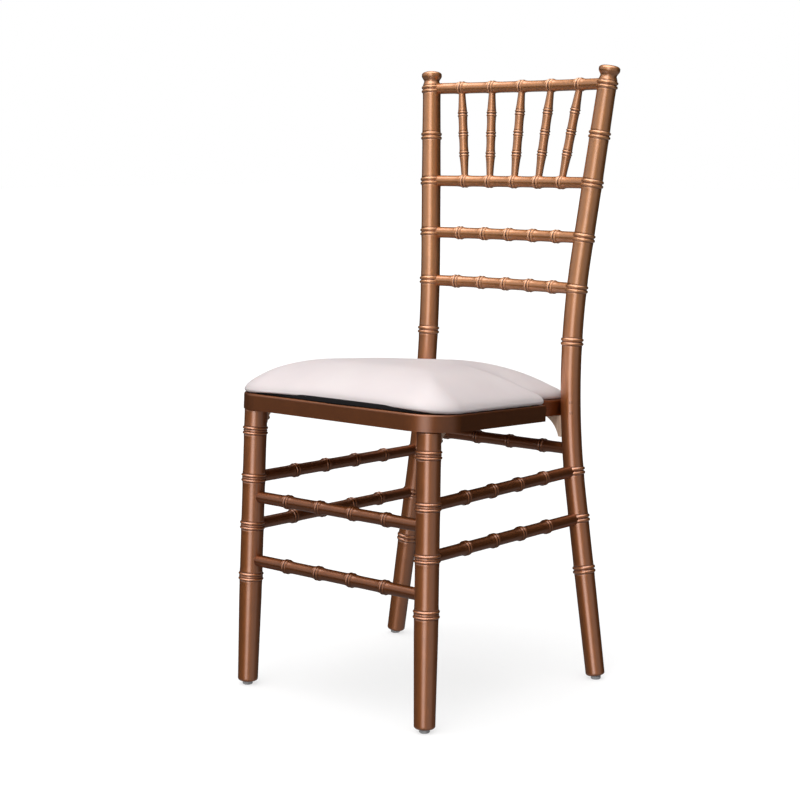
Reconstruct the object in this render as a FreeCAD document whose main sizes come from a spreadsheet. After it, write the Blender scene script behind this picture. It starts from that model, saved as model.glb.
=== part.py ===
import FreeCAD
import Part
import math
import os
import Sketcher
from FreeCAD import Placement, Rotation, Vector

# A chiavari chair: turned front legs, steam-bent back posts with finials, bowed back rails,
# fanned spindles, seven turned stretchers, a notched seat frame and a lift-off seat cushion.
# Millimetres. The chair stands on z = 0, faces -y, and x = 0 is its plane of symmetry.

SIZES = (
    ("overall_height", 920.0, "tips of the back posts, above the floor"),
    ("front_foot_width", 350.0, "between the front leg axes at the floor"),
    ("front_foot_forward", 211.5, "front leg axis at the floor, ahead of the origin"),
    ("front_top_width", 336.0, "between the front leg axes under the seat"),
    ("front_top_forward", 194.5, "front leg axis under the seat, ahead of the origin"),
    ("rear_foot_width", 406.0, "between the back post axes at the floor"),
    ("rear_foot_back", 156.0, "back post axis at the floor, behind the origin"),
    ("waist_width", 264.0, "between the corners that the post bends round"),
    ("waist_back", 160.0, "that corner, behind the origin"),
    ("waist_height", 459.0, "that corner, above the floor"),
    ("bend_run", 182.0, "from that corner to each end of the bend"),
    ("top_width", 347.0, "between the back post axes at the top"),
    ("top_back", 210.4, "back post axis at the top, behind the origin"),
    ("leg_diameter", 33.6, "front leg"),
    ("leg_foot_diameter", 30.0, "front leg at the floor"),
    ("leg_taper_height", 135.0, "where the front leg starts to taper"),
    ("post_diameter", 30.4, "back post"),
    ("post_foot_diameter", 28.8, "back post at the floor"),
    ("post_top_diameter", 28.4, "back post at the crest rail"),
    ("finial_diameter", 32.2, "widest part of the finial"),
    ("finial_height", 16.0, "from the neck to the tip"),
    ("finial_rim_height", 7.6, "from the neck to the rim of the finial"),
    ("finial_rim_width", 2.4, "upright rim of the finial"),
    ("neck_diameter", 23.4, "neck under the finial"),
    ("foot_bevel", 7.0, "bevel round the foot, inwards"),
    ("foot_bevel_height", 4.0, "bevel round the foot, upwards"),
    ("bead_width", 7.7, "one bead of a double ring"),
    ("leg_bead", 2.1, "how far a bead stands out on the legs and posts"),
    ("rail_bead", 1.8, "how far a bead stands out on rails and stretchers"),
    ("spindle_bead", 1.1, "how far a bead stands out on a spindle"),
    ("free_ring_height", 165.7, "lowest double ring of legs and posts"),
    ("lower_side_height", 242.8, "lower side stretchers"),
    ("upper_side_height", 314.2, "upper side stretchers"),
    ("leg_top_ring_drop", 58.0, "double ring of the front legs, below the top of the seat"),
    ("lower_front_height", 190.5, "lower front stretcher"),
    ("upper_front_height", 286.0, "upper front stretcher"),
    ("back_stretcher_drop", 96.0, "back stretcher, below the top of the seat"),
    ("post_ring_rise", 66.0, "double ring of the back posts, above the top of the seat"),
    ("lower_rail_share", 0.336, "lowest back rail, part of the way from that ring to the spindles"),
    ("upper_rail_share", 0.6593, "second back rail, part of the same way"),
    ("post_mid_ring_rise", 71.9, "double ring beside the spindles, above their rail"),
    ("spindle_span", 146.0, "from the rail that carries the spindles up to the crest rail"),
    ("crest_to_tip", 28.4, "tips of the finials, above the crest rail"),
    ("rail_diameter", 18.0, "back rails"),
    ("rail_bow", 8.0, "how far a rail bows back between the posts"),
    ("crest_ring_pitch", 57.8, "between the rings of the crest rail"),
    ("rail_ring_pitch", 47.5, "between the rings of the other back rails"),
    ("stretcher_diameter", 18.2, "stretchers"),
    ("stretcher_ring_pitch", 64.0, "between the rings of a stretcher"),
    ("spindle_diameter", 14.6, "spindle between its rings"),
    ("spindle_end_diameter", 10.6, "thin ends of a spindle"),
    ("spindle_ring_pitch", 29.8, "between the rings of a spindle"),
    ("spindle_bead_width", 6.4, "one bead of a spindle ring"),
    ("spindle_seat_depth", 5.5, "how deep a spindle enters a rail"),
    ("socket_web", 0.5, "wood left between two sockets that meet in a leg"),
    ("socket_clearance", 0.1, "round a rail or spindle in its socket"),
    ("seat_front_height", 443.0, "top of the seat frame at its front edge"),
    ("seat_tilt", 3.4, "backward slope of the seat, in degrees"),
    ("seat_thickness", 24.0, "seat frame"),
    ("seat_front", 221.0, "front edge of the seat, ahead of the origin"),
    ("seat_front_width", 400.0, "seat width where the front corners start"),
    ("seat_corner_radius", 55.0, "rounded front corners of the seat"),
    ("seat_side_end", 62.0, "where the sides of the seat end, behind the origin"),
    ("seat_end_width", 346.0, "seat width at the ends of its sides"),
    ("seat_notch_radius", 22.0, "hollow of the seat in front of a post"),
    ("seat_back", 180.0, "rear edge of the seat, behind the origin"),
    ("seat_rail_width", 45.0, "side rails of the seat, at the front"),
    ("seat_joint_setback", 7.0, "joint between front and side rails, behind the rounded corners"),
    ("seat_back_rail_width", 58.0, "back rail of the seat"),
    ("seat_side_inset", 60.0, "how much closer the side rails come at the back"),
    ("seat_edge_round", 3.0, "eased upper edge of the seat frame"),
    ("panel_thickness", 8.0, "seat panel"),
    ("rabbet", 9.0, "ledge that carries the seat panel"),
    ("tenon_length", 14.0, "tenons of the seat frame and the front legs"),
    ("tenon_width", 26.0, "tenons of the seat frame"),
    ("tenon_thickness", 8.0, "tenons of the seat frame"),
    ("leg_tenon_diameter", 20.0, "round tenons of the front legs"),
    ("gusset_thickness", 10.0, "curved corner blocks under the seat"),
    ("front_gusset_reach", 14.0, "corner block behind a front leg, along the seat"),
    ("front_gusset_drop", 22.0, "that block, down the leg"),
    ("front_gusset_hollow", 2.5, "depth of its hollow edge"),
    ("back_gusset_reach", 28.0, "corner block beside a back post, along the seat"),
    ("back_gusset_drop", 32.0, "that block, down the post"),
    ("back_gusset_hollow", 4.0, "depth of its hollow edge"),
    ("gusset_tip", 3.0, "blunt ends of a corner block"),
    ("glide_diameter", 15.0, "nylon glide"),
    ("glide_height", 5.0, "below the foot"),
    ("glide_bevel", 1.0, "bevel round the bottom of a glide"),
    ("glide_pin_diameter", 5.0, "pin of a glide"),
    ("glide_pin_length", 12.0, "pin of a glide, up into the foot"),
    ("board_thickness", 7.0, "cushion board"),
    ("board_inset", 5.0, "cushion board, in from the edge of the seat"),
    ("board_gap", 0.3, "between the seat and the cushion board"),
    ("pad_inset", 1.0, "cushion pad, in from the edge of the seat"),
    ("pad_gap", 0.3, "between the cushion board and the pad"),
    ("pad_height", 51.0, "cushion pad at its crown"),
    ("cushion_tongue_width", 246.0, "cushion between the back posts"),
    ("pad_edge_height", 14.0, "upright edge of the cushion pad"),
    ("pad_shoulder_height", 38.0, "cushion pad where its shoulder meets the crown"),
    ("pad_shoulder_inset", 26.0, "that line, in from the edge of the seat"),
    ("pad_crown_inset", 95.0, "level top of the cushion pad, in from the edge of the seat"),
)

doc = FreeCAD.newDocument("ChiavariChair")
sheet = doc.addObject("Spreadsheet::Sheet", "Sizes")
for row, (alias, number, note) in enumerate(SIZES, start=1):
    sheet.set(f"A{row}", str(number))
    sheet.setAlias(f"A{row}", alias)
    sheet.set(f"B{row}", note)
doc.recompute()


class Length:
    """A length together with the sheet formula that it comes from."""

    def __init__(self, value, text):
        self.value = value
        self.text = text

    def __add__(self, other):
        other = as_length(other)
        return Length(self.value + other.value, f"({self.text} + {other.text})")

    def __sub__(self, other):
        other = as_length(other)
        return Length(self.value - other.value, f"({self.text} - {other.text})")

    def __mul__(self, number):
        return Length(self.value * number, f"({self.text} * {number})")

    def __truediv__(self, number):
        return Length(self.value / number, f"({self.text} / {number})")

    def __neg__(self):
        return self * -1


def as_length(thing):
    return thing if isinstance(thing, Length) else Length(float(thing), f"{thing:.6f}")


def size(alias):
    return Length(float(sheet.get(alias)), f"Sizes.{alias}")


def number(alias):
    return size(alias).value


def stacked_levels():
    """Heights above the floor of every ring and rail: from the tips down, and round the seat."""
    heights = {name: size(name + "_height") for name in ("free_ring", "lower_side", "upper_side")}
    heights["leg_top_ring"] = size("seat_front_height") - size("leg_top_ring_drop")
    heights["post_ring"] = size("seat_front_height") + size("post_ring_rise")
    heights["tip"] = size("overall_height")
    heights["crest"] = heights["tip"] - size("crest_to_tip")
    heights["spindle_rail"] = heights["crest"] - size("spindle_span")
    heights["post_mid_ring"] = heights["spindle_rail"] + size("post_mid_ring_rise")
    way = heights["spindle_rail"] - heights["post_ring"]
    heights["lower_rail"] = heights["post_ring"] + way * number("lower_rail_share")
    heights["upper_rail"] = heights["post_ring"] + way * number("upper_rail_share")
    return heights


levels = stacked_levels()
parts = {}
same_place = 0.01


def keep(label, thing):
    thing.Label = label
    parts[label] = thing
    return thing


def origin_feature(body, role):
    return next(item for item in body.Origin.OriginFeatures if item.Role == role)


# Sketches and turned bodies

def new_sketch(body, name, role, offset=Placement()):
    sketch = body.newObject("Sketcher::SketchObject", name)
    sketch.AttachmentSupport = [(origin_feature(body, role), "")]
    sketch.MapMode = "FlatFace"
    sketch.AttachmentOffset = offset
    return sketch


def pin_vertex(sketch, edge, vertex, along, length):
    """Ties one coordinate of a vertex to its length from the sketch origin."""
    length = as_length(length)
    if abs(length.value) < 1e-9:
        axis = -2 if along == "DistanceX" else -1
        sketch.addConstraint(Sketcher.Constraint("PointOnObject", edge, vertex, axis))
        return
    index = sketch.addConstraint(Sketcher.Constraint(along, -1, 1, edge, vertex, length.value))
    if "Sizes." in length.text:
        sketch.setExpression(f"Constraints[{index}]", length.text)


def draw_outline(sketch, points, arcs=None):
    """Closes a loop through the points; arcs maps a point's index to the centre of the arc after it."""
    arcs = arcs or {}
    corners = [Vector(as_length(x).value, as_length(y).value, 0) for x, y in points]
    count = len(corners)
    for index, start in enumerate(corners):
        finish = corners[(index + 1) % count]
        if index in arcs:
            centre = Vector(as_length(arcs[index][0]).value, as_length(arcs[index][1]).value, 0)
            radius = (start - centre).Length
            bulge = ((start + finish) / 2 - centre).normalize() * radius
            sketch.addGeometry(Part.Arc(start, centre + bulge, finish), False)
        else:
            sketch.addGeometry(Part.LineSegment(start, finish), False)
    for index in range(count):
        ahead = (index + 1) % count
        here = end_of(sketch, index, corners[ahead])
        there = end_of(sketch, ahead, corners[ahead])
        sketch.addConstraint(Sketcher.Constraint("Coincident", index, here, ahead, there))
    for index, (x, y) in enumerate(points):
        vertex = end_of(sketch, index, corners[index])
        pin_vertex(sketch, index, vertex, "DistanceX", x)
        pin_vertex(sketch, index, vertex, "DistanceY", y)
    for index in arcs:
        pin_vertex(sketch, index, 3, "DistanceX", arcs[index][0])


def end_of(sketch, index, corner):
    """Tells which end of an edge lies at the corner."""
    start = sketch.getPoint(index, 1)
    return 1 if (start - corner).Length < 1e-6 else 2


def revolve(body, name, role, points, offset=Placement(), arcs=None):
    """Turns a closed profile, given as (radius, height) pairs, about the sketch's vertical axis."""
    sketch = new_sketch(body, name + "_profile", role, offset)
    draw_outline(sketch, points, arcs)
    turned = body.newObject("PartDesign::Revolution", name)
    turned.Profile = sketch
    turned.ReferenceAxis = (sketch, ["V_Axis"])
    turned.Angle = 360
    sketch.Visibility = False
    return turned


def double_ring(radius, bead, width, height):
    """Five points of a double ring centred at the height, from below to above."""
    crest = radius + bead
    return [
        (radius, height - width),
        (crest, height - width / 2),
        (radius, height),
        (crest, height + width / 2),
        (radius, height + width),
    ]


def bent_stock(body, name, bend_radius, radius, degrees):
    """Round stock along an arc about the body's z axis, from its x axis on."""
    section = new_sketch(body, name + "_section", "XZ_Plane")
    circle = Part.Circle(Vector(bend_radius, 0, 0), Vector(0, 0, 1), radius.value)
    section.addGeometry(circle, False)
    section.addConstraint(Sketcher.Constraint("PointOnObject", 0, 3, -1))
    section.addConstraint(Sketcher.Constraint("DistanceX", -1, 1, 0, 3, bend_radius))
    ring_size = section.addConstraint(Sketcher.Constraint("Radius", 0, radius.value))
    section.setExpression(f"Constraints[{ring_size}]", radius.text)
    section.Visibility = False
    stock = body.newObject("PartDesign::Revolution", name)
    stock.Profile = section
    stock.ReferenceAxis = (origin_feature(body, "Z_Axis"), [""])
    stock.Angle = degrees


def pad(body, name, points, depth, arcs=None):
    """A plate with the outline, as thick as the depth."""
    sketch = new_sketch(body, name + "_outline", "XY_Plane")
    draw_outline(sketch, points, arcs)
    plate = body.newObject("PartDesign::Pad", name)
    plate.Profile = sketch
    plate.setExpression("Length", as_length(depth).text)
    sketch.Visibility = False


def new_body(name, placement=Placement()):
    body = doc.addObject("PartDesign::Body", name)
    body.Placement = placement
    return body


def along(start, finish):
    """A placement at the start whose z axis points to the finish."""
    return Placement(start, Rotation(Vector(0, 0, 1), finish - start))


# Tools that are cut from a piece, placed in the piece's own frame

def socket(name, piece_frame, start, finish, radius, reach):
    """A drilled hole from the start towards the finish."""
    hole = doc.addObject("Part::Cylinder", name)
    hole.setExpression("Radius", radius.text)
    hole.setExpression("Height", as_length(reach).text)
    hole.Placement = piece_frame.inverse() * along(start, finish)
    return hole


def block(name, piece_frame, block_frame, low, spans):
    """A box with its lowest corner at low, in the given frame."""
    box = doc.addObject("Part::Box", name)
    for side, span in zip(("Length", "Width", "Height"), spans):
        box.setExpression(side, as_length(span).text)
    corner = Vector(*(as_length(value).value for value in low))
    box.Placement = piece_frame.inverse() * block_frame * Placement(corner, Rotation())
    return box


def cut(label, body, tools):
    """Cuts the tools out of a body; the result keeps the body's place."""
    frame = body.Placement
    body.Placement = Placement()
    if len(tools) > 1:
        tool = doc.addObject("Part::MultiFuse", label + "_cutters")
        tool.Shapes = tools
    else:
        tool = tools[0]
    result = doc.addObject("Part::Cut", label + "_cut")
    result.Base = body
    result.Tool = tool
    result.Placement = frame
    return keep(label, result)


# Lines and places that the pieces share

def seat_frame():
    """The seat's own frame: its xy plane is the underside, z points up through the seat."""
    tilt = math.radians(number("seat_tilt"))
    rise = number("seat_front") * math.tan(tilt)
    underside = number("seat_front_height") - number("seat_thickness") / math.cos(tilt) - rise
    return Placement(Vector(0, 0, underside), Rotation(Vector(1, 0, 0), -number("seat_tilt")))


def leg_line(side):
    """Foot and seat ends of a front leg axis."""
    foot = Vector(side * number("front_foot_width") / 2, -number("front_foot_forward"), 0)
    seat = seat_frame()
    forward = number("front_top_forward")
    height = seat.Base.z + forward * math.tan(math.radians(number("seat_tilt")))
    return foot, Vector(side * number("front_top_width") / 2, -forward, height)


def leg_point(side, height):
    foot, top = leg_line(side)
    return foot + (top - foot) * (height / top.z)


class PostLine:
    """The axis of a back post: a straight lower run, an arc and a straight upper run."""

    def __init__(self, side):
        half = side / 2
        foot = Vector(half * number("rear_foot_width"), number("rear_foot_back"), 0)
        corner = Vector(half * number("waist_width"), number("waist_back"), number("waist_height"))
        tip = Vector(half * number("top_width"), number("top_back"), levels["tip"].value)
        self.rise = (corner - foot).normalize()
        self.lean = (tip - corner).normalize()
        self.turn = self.rise.getAngle(self.lean)
        self.radius = number("bend_run") / math.tan(self.turn / 2)
        inward = (self.lean - self.rise * self.rise.dot(self.lean)).normalize()
        self.start = corner - self.rise * number("bend_run")
        self.finish = corner + self.lean * number("bend_run")
        self.lower_length = (self.start - foot).Length
        self.upper_length = (tip - self.finish).Length
        centre = self.start + inward * self.radius
        outward = -inward
        axis = outward.cross(self.rise)
        self.frame = Placement(centre, Rotation(outward, self.rise, axis, "ZXY"))

    def station(self, height, shift=0.0):
        """Place on the axis at a height, in the post's frame: x outward, y up along the axis."""
        if height < self.start.z:
            angle = 0.0
            run = (height - self.start.z) / self.rise.z
        elif height >= self.finish.z:
            angle = self.turn
            run = (height - self.finish.z) / self.lean.z
        else:
            angle = self.angle_at(height)
            run = 0.0
        spin = Rotation(Vector(0, 0, 1), math.degrees(angle))
        return Placement(spin.multVec(Vector(self.radius, run + shift, 0)), spin)

    def angle_at(self, height):
        across = self.start - self.frame.Base
        swing = math.hypot(across.z, self.rise.z * self.radius)
        lead = math.atan2(self.rise.z * self.radius, across.z)
        return lead - math.acos((height - self.frame.Base.z) / swing)

    def point(self, height):
        return self.frame.multVec(self.station(height).Base)

    def run_of(self, ring_name):
        """Which run of the post holds the whole of a double ring."""
        height = levels[ring_name].value
        if height + number("bead_width") < self.start.z:
            return "lower"
        return "upper" if height - number("bead_width") > self.finish.z else "bend"


class RailLine:
    """The axis of a bowed back rail between the two posts, at one height."""

    def __init__(self, height):
        end = posts[1].point(height)
        bow = number("rail_bow")
        self.radius = (end.x ** 2 + bow ** 2) / (2 * bow)
        self.half_angle = math.asin(end.x / self.radius)
        self.centre = Vector(0, end.y + bow - self.radius, height)

    def point(self, distance):
        """Point at a distance along the rail from its middle."""
        angle = distance / self.radius
        return self.centre + Vector(math.sin(angle), math.cos(angle), 0) * self.radius

    def end_line(self, side):
        """Post axis end and the middle of the rail's end tangent."""
        end = self.point(side * self.radius * self.half_angle)
        heading = Vector(-side * math.cos(self.half_angle), math.sin(self.half_angle), 0)
        return end, end + heading


POST_RINGS = (
    "free_ring", "lower_side", "upper_side", "post_ring", "lower_rail", "upper_rail",
    "spindle_rail", "post_mid_ring", "crest",
)
posts = {-1: PostLine(-1), 1: PostLine(1)}
SIDES = {"left": -1, "right": 1}
clearance = size("socket_clearance")
socket_reach = size("leg_diameter")


# Stretchers and spindles

def socket_floor(diameter_name):
    """From a leg axis to the bottom of a socket; sockets from two sides stay apart."""
    return (number(diameter_name) + number("socket_web")) / 2 + number("socket_clearance")


def stretcher(label, start, finish):
    """A turned stretcher between two leg axes, with four double rings."""
    radius = size("stretcher_diameter") / 2
    inset = socket_floor("stretcher_diameter") + number("socket_clearance")
    span = (finish - start).Length - 2 * inset
    points = [(0, 0), (radius, 0)]
    for step in (-1.5, -0.5, 0.5, 1.5):
        ring_height = size("stretcher_ring_pitch") * step + span / 2
        points += double_ring(radius, size("rail_bead"), size("bead_width"), ring_height)
    points += [(radius, span), (0, span)]
    heading = (finish - start).normalize()
    body = new_body(label, along(start + heading * inset, finish))
    revolve(body, label + "_turning", "XZ_Plane", points)
    return keep(label, body)


def spindle(label, foot, head):
    """A spindle from the spindle rail up to the crest rail, thin at both ends."""
    ring_radius = size("spindle_diameter") / 2
    end_radius = size("spindle_end_diameter") / 2
    inset = number("rail_diameter") / 2 - number("spindle_seat_depth")
    span = (head - foot).Length - 2 * inset
    tip = number("spindle_seat_depth")
    points = [(0, 0), (end_radius, 0), (end_radius, tip)]
    for step in (-1, 0, 1):
        ring_height = size("spindle_ring_pitch") * step + span / 2
        points += double_ring(ring_radius, size("spindle_bead"), size("spindle_bead_width"), ring_height)
    points += [(end_radius, span - tip), (end_radius, span), (0, span)]
    heading = (head - foot).normalize()
    body = new_body(label, along(foot + heading * inset, head))
    revolve(body, label + "_turning", "XZ_Plane", points)
    return keep(label, body)


def stretcher_lines():
    """Every stretcher with the leg axis points that it joins."""
    lines = {}
    for level in ("lower", "upper"):
        height = number(f"{level}_front_height")
        lines[f"front_stretcher_{level}"] = (leg_point(-1, height), leg_point(1, height))
        height = number(f"{level}_side_height")
        for name, side in SIDES.items():
            ends = (leg_point(side, height), posts[side].point(height))
            lines[f"side_stretcher_{name}_{level}"] = ends
    height = number("seat_front_height") - number("back_stretcher_drop")
    lines["back_stretcher"] = (posts[-1].point(height), posts[1].point(height))
    return lines


def rail(label, level, pitch_name, drilled):
    """A bowed back rail: an arc of round stock with five double rings."""
    line = RailLine(levels[level].value)
    radius = size("rail_diameter") / 2
    trim = (socket_floor("rail_diameter") + number("socket_clearance")) / line.radius
    reach = math.degrees(line.half_angle - trim)
    frame = Placement(line.centre, Rotation(Vector(0, 0, 1), 90 - reach))
    body = new_body(label, frame)
    bent_stock(body, label + "_stock", line.radius, radius, 2 * reach)
    pitch = number(pitch_name) / line.radius
    first = Rotation(Vector(0, 0, 1), reach - math.degrees(2 * pitch))
    root = ring_root(radius, size("rail_bead"), size("bead_width"))
    start = first.multVec(Vector(line.radius, -root[-1][1].value / 2, 0))
    ring = revolve(body, label + "_ring", "XY_Plane", root, Placement(start, first))
    rings = body.newObject("PartDesign::PolarPattern", label + "_rings")
    rings.Originals = [ring]
    rings.Axis = (origin_feature(body, "Z_Axis"), [""])
    rings.Angle = math.degrees(4 * pitch)
    rings.Occurrences = 5
    body.Tip = rings
    if not drilled:
        return keep(label, body)
    tools = []
    hole_radius = size("spindle_end_diameter") / 2 + clearance
    hole_floor = number("rail_diameter") / 2 - number("spindle_seat_depth")
    for index, (foot, head) in enumerate(spindle_lines(), start=1):
        here, there = (foot, head) if level == "spindle_rail" else (head, foot)
        start = here + (there - here).normalize() * hole_floor
        name = f"{label}_hole_{index}"
        tools.append(socket(name, frame, start, there, hole_radius, size("rail_diameter")))
    return cut(label, body, tools)


def ring_root(radius, bead, width):
    """Closed profile of a double ring whose slopes reach a little below the surface it sits on."""
    sink = bead / 4
    run = width / 8
    crest = radius + bead
    middle = width + run
    return [
        (radius - bead, 0),
        (radius - sink, 0),
        (crest, run + width / 2),
        (radius, middle),
        (crest, middle + width / 2),
        (radius - sink, middle * 2),
        (radius - bead, middle * 2),
    ]


def spindle_lines():
    """Lower and upper ends of the five spindles, on the rail axes."""
    low = RailLine(levels["spindle_rail"].value)
    high = RailLine(levels["crest"].value)
    return [
        (low.point(step * number("rail_ring_pitch")), high.point(step * number("crest_ring_pitch")))
        for step in (-2, -1, 0, 1, 2)
    ]


# Front legs and back posts

def foot_tools(label, frame, foot):
    """The level cut under a foot and the hole for its glide pin."""
    reach = number("leg_diameter")
    low = (foot.x - reach, foot.y - reach, -reach)
    spans = (2 * reach, 2 * reach, size("glide_height") + reach)
    level = block(label + "_level", frame, Placement(), low, spans)
    pin_radius = size("glide_pin_diameter") / 2 + clearance
    pin_reach = size("glide_height") + size("glide_pin_length") + clearance
    pin = socket(label + "_pin_hole", frame, foot, foot + Vector(0, 0, 1), pin_radius, pin_reach)
    return [level, pin]


def stretcher_sockets(label, frame, at):
    """Sockets for every stretcher that ends at this leg or post."""
    tools = []
    for name, (start, finish) in stretcher_lines().items():
        for here, there in ((start, finish), (finish, start)):
            if (here - at(here.z)).Length > same_place:
                continue
            floor = here + (there - here).normalize() * socket_floor("stretcher_diameter")
            radius = size("stretcher_diameter") / 2 + clearance
            tools.append(socket(f"{label}_{name}_socket", frame, floor, there, radius, socket_reach))
    return tools


def front_leg(name, side):
    label = f"front_leg_{name}"
    foot, top = leg_line(side)
    frame = along(foot, top)
    scale = (top - foot).Length / top.z
    radius = size("leg_diameter") / 2
    foot_radius = size("leg_foot_diameter") / 2
    bevel_top = size("glide_height") + size("foot_bevel_height")
    seat_up = seat_frame().Rotation.multVec(Vector(0, 0, 1))
    lean = seat_up.getAngle(top - foot)
    shoulder = (top - foot).Length - radius.value * math.tan(lean) - number("socket_clearance")
    points = [
        (0, size("glide_height") / 2),
        (foot_radius - size("foot_bevel"), size("glide_height") / 2),
        (foot_radius - size("foot_bevel"), size("glide_height")),
        (foot_radius, bevel_top),
        (radius, size("leg_taper_height") * scale),
    ]
    for ring_name in ("free_ring", "lower_side", "upper_side", "leg_top_ring"):
        height = levels[ring_name] * scale
        points += double_ring(radius, size("leg_bead"), size("bead_width"), height)
    tenon = size("leg_tenon_diameter") / 2
    tenon_top = size("tenon_length") + shoulder
    points += [(radius, shoulder), (tenon, shoulder), (tenon, tenon_top), (0, tenon_top)]
    body = new_body(label + "_turned", frame)
    revolve(body, label + "_turning", "XZ_Plane", points)
    tools = foot_tools(label, frame, foot)
    tools += stretcher_sockets(label, frame, lambda height: leg_point(side, height))
    return cut(label, body, tools)


def back_post(name, side):
    label = f"back_post_{name}"
    line = posts[side]
    radius = size("post_diameter") / 2
    body = new_body(label + "_turned", line.frame)
    bent_stock(body, label + "_bend", line.radius, radius, math.degrees(line.turn))
    revolve(body, label + "_lower", "XY_Plane", lower_post_points(line, radius), line.station(0))
    points, arcs = upper_post_points(line, radius)
    revolve(body, label + "_upper", "XY_Plane", points, line.station(line.finish.z), arcs)
    ring = ring_root(radius, size("leg_bead"), size("bead_width"))
    half = ring[-1][1].value / 2
    for ring_name in POST_RINGS:
        if line.run_of(ring_name) == "bend":
            offset = line.station(levels[ring_name].value, -half)
            revolve(body, f"{label}_{ring_name}_beads", "XY_Plane", ring, offset)
    foot = line.point(0)
    tools = foot_tools(label, line.frame, foot)
    tools += stretcher_sockets(label, line.frame, line.point)
    for rail_name in ("lower_rail", "upper_rail", "spindle_rail", "crest"):
        end, inner = RailLine(levels[rail_name].value).end_line(side)
        floor = end + (inner - end) * socket_floor("rail_diameter")
        ahead = floor + inner - end
        rail_radius = size("rail_diameter") / 2 + clearance
        hole_name = f"{label}_{rail_name}_socket"
        tools.append(socket(hole_name, line.frame, floor, ahead, rail_radius, socket_reach))
    return cut(label, body, tools)


def lower_post_points(line, radius):
    """Profile of the straight lower run, from the foot up to the bend."""
    foot_radius = size("post_foot_diameter") / 2
    bevel_top = size("glide_height") + size("foot_bevel_height")
    points = [
        (0, 0),
        (foot_radius - size("foot_bevel"), 0),
        (foot_radius - size("foot_bevel"), size("glide_height")),
        (foot_radius, bevel_top),
        (radius, size("leg_taper_height") / line.rise.z),
    ]
    for ring_name in POST_RINGS:
        if line.run_of(ring_name) == "lower":
            height = levels[ring_name] / line.rise.z
            points += double_ring(radius, size("leg_bead"), size("bead_width"), height)
    points += [(radius, line.lower_length), (0, line.lower_length)]
    return points


def upper_post_points(line, radius):
    """Profile of the straight upper run, from the bend up to the tip, and its arcs' centres."""
    top_radius = size("post_top_diameter") / 2
    middle_radius = (radius + top_radius) / 2
    ring_radii = {"post_mid_ring": middle_radius, "crest": top_radius}
    points = [(0, 0), (radius, 0)]
    for ring_name in POST_RINGS:
        if line.run_of(ring_name) == "upper":
            height = (levels[ring_name] - line.finish.z) / line.lean.z
            ring_radius = ring_radii.get(ring_name, radius)
            points += double_ring(ring_radius, size("leg_bead"), size("bead_width"), height)
    finial, arcs = finial_points(line.upper_length)
    arcs = {len(points) + index: centre for index, centre in arcs.items()}
    return points + finial, arcs


def finial_points(tip):
    """A hollow neck that flares to a rim, and a domed cap; also the centres of the two arcs."""
    neck_height = tip - number("finial_height")
    neck = size("neck_diameter") / 2
    rim = size("finial_diameter") / 2
    rim_low = neck_height + number("finial_rim_height")
    rim_high = rim_low + number("finial_rim_width")
    flare = rim.value - neck.value
    hollow = (flare ** 2 + number("finial_rim_height") ** 2) / (2 * flare)
    cap = tip - rim_high
    dome = (rim.value ** 2 + cap ** 2) / (2 * cap)
    points = [(neck, neck_height), (rim, rim_low), (rim, rim_high), (0, tip)]
    return points, {0: (neck.value + hollow, neck_height), 2: (0, tip - dome)}


def glide(label, foot):
    """A nylon glide with a pin that goes up into the foot."""
    disc = size("glide_diameter") / 2
    pin = size("glide_pin_diameter") / 2
    pin_top = size("glide_height") + size("glide_pin_length")
    points = [
        (0, 0),
        (disc - size("glide_bevel"), 0),
        (disc, size("glide_bevel")),
        (disc, size("glide_height")),
        (pin, size("glide_height")),
        (pin, pin_top),
        (0, pin_top),
    ]
    body = new_body(label, Placement(foot, Rotation()))
    revolve(body, label + "_turning", "XZ_Plane", points)
    return keep(label, body)


# Seat frame, seat panel and corner blocks

def tongue_half():
    """Half the width of the part of the seat that fits between the posts."""
    frame = seat_frame()
    top = frame.multVec(Vector(0, number("seat_back"), number("seat_thickness"))).z
    nearest = min(posts[1].point(height).x for height in (top, top + number("seat_thickness")))
    return nearest - number("post_diameter") / 2 - number("socket_clearance")


def side_edge(distance):
    """Half the width of the seat at a distance behind the origin, along its straight sides."""
    front = -number("seat_front") + number("seat_corner_radius")
    narrowing = (number("seat_front_width") - number("seat_end_width")) / 2
    taper = narrowing / (number("seat_side_end") - front)
    return number("seat_front_width") / 2 - taper * (distance - front)


def seat_joints():
    """Where the front and back rails of the seat meet its side rails."""
    front = -number("seat_front") + number("seat_corner_radius") + number("seat_joint_setback")
    return front, number("seat_back") - number("seat_back_rail_width")


def opening_half(distance, margin=0.0):
    """Half the width of the opening between the side rails."""
    front, back = seat_joints()
    start = side_edge(front) - number("seat_rail_width")
    taper = number("seat_side_inset") / (back - front)
    return start - taper * (distance - front) + margin


def panel_points(margin):
    front, back = seat_joints()
    ends = ((-1, front - margin), (1, front - margin), (1, back + margin), (-1, back + margin))
    return [(side * opening_half(place, margin), place) for side, place in ends]


def panel_body(name, margin, thickness):
    """A sheet with the outline of the seat opening, flush with the top of the seat frame."""
    lift = Placement(Vector(0, 0, number("seat_thickness") - thickness.value), Rotation())
    body = new_body(name, lift)
    pad(body, name + "_sheet", panel_points(margin), thickness)
    return body


def seat_part(label, body, tools):
    """Cuts a seat rail and puts it in the seat's place."""
    body.Placement = seat_frame()
    return cut(label, body, tools)


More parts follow.
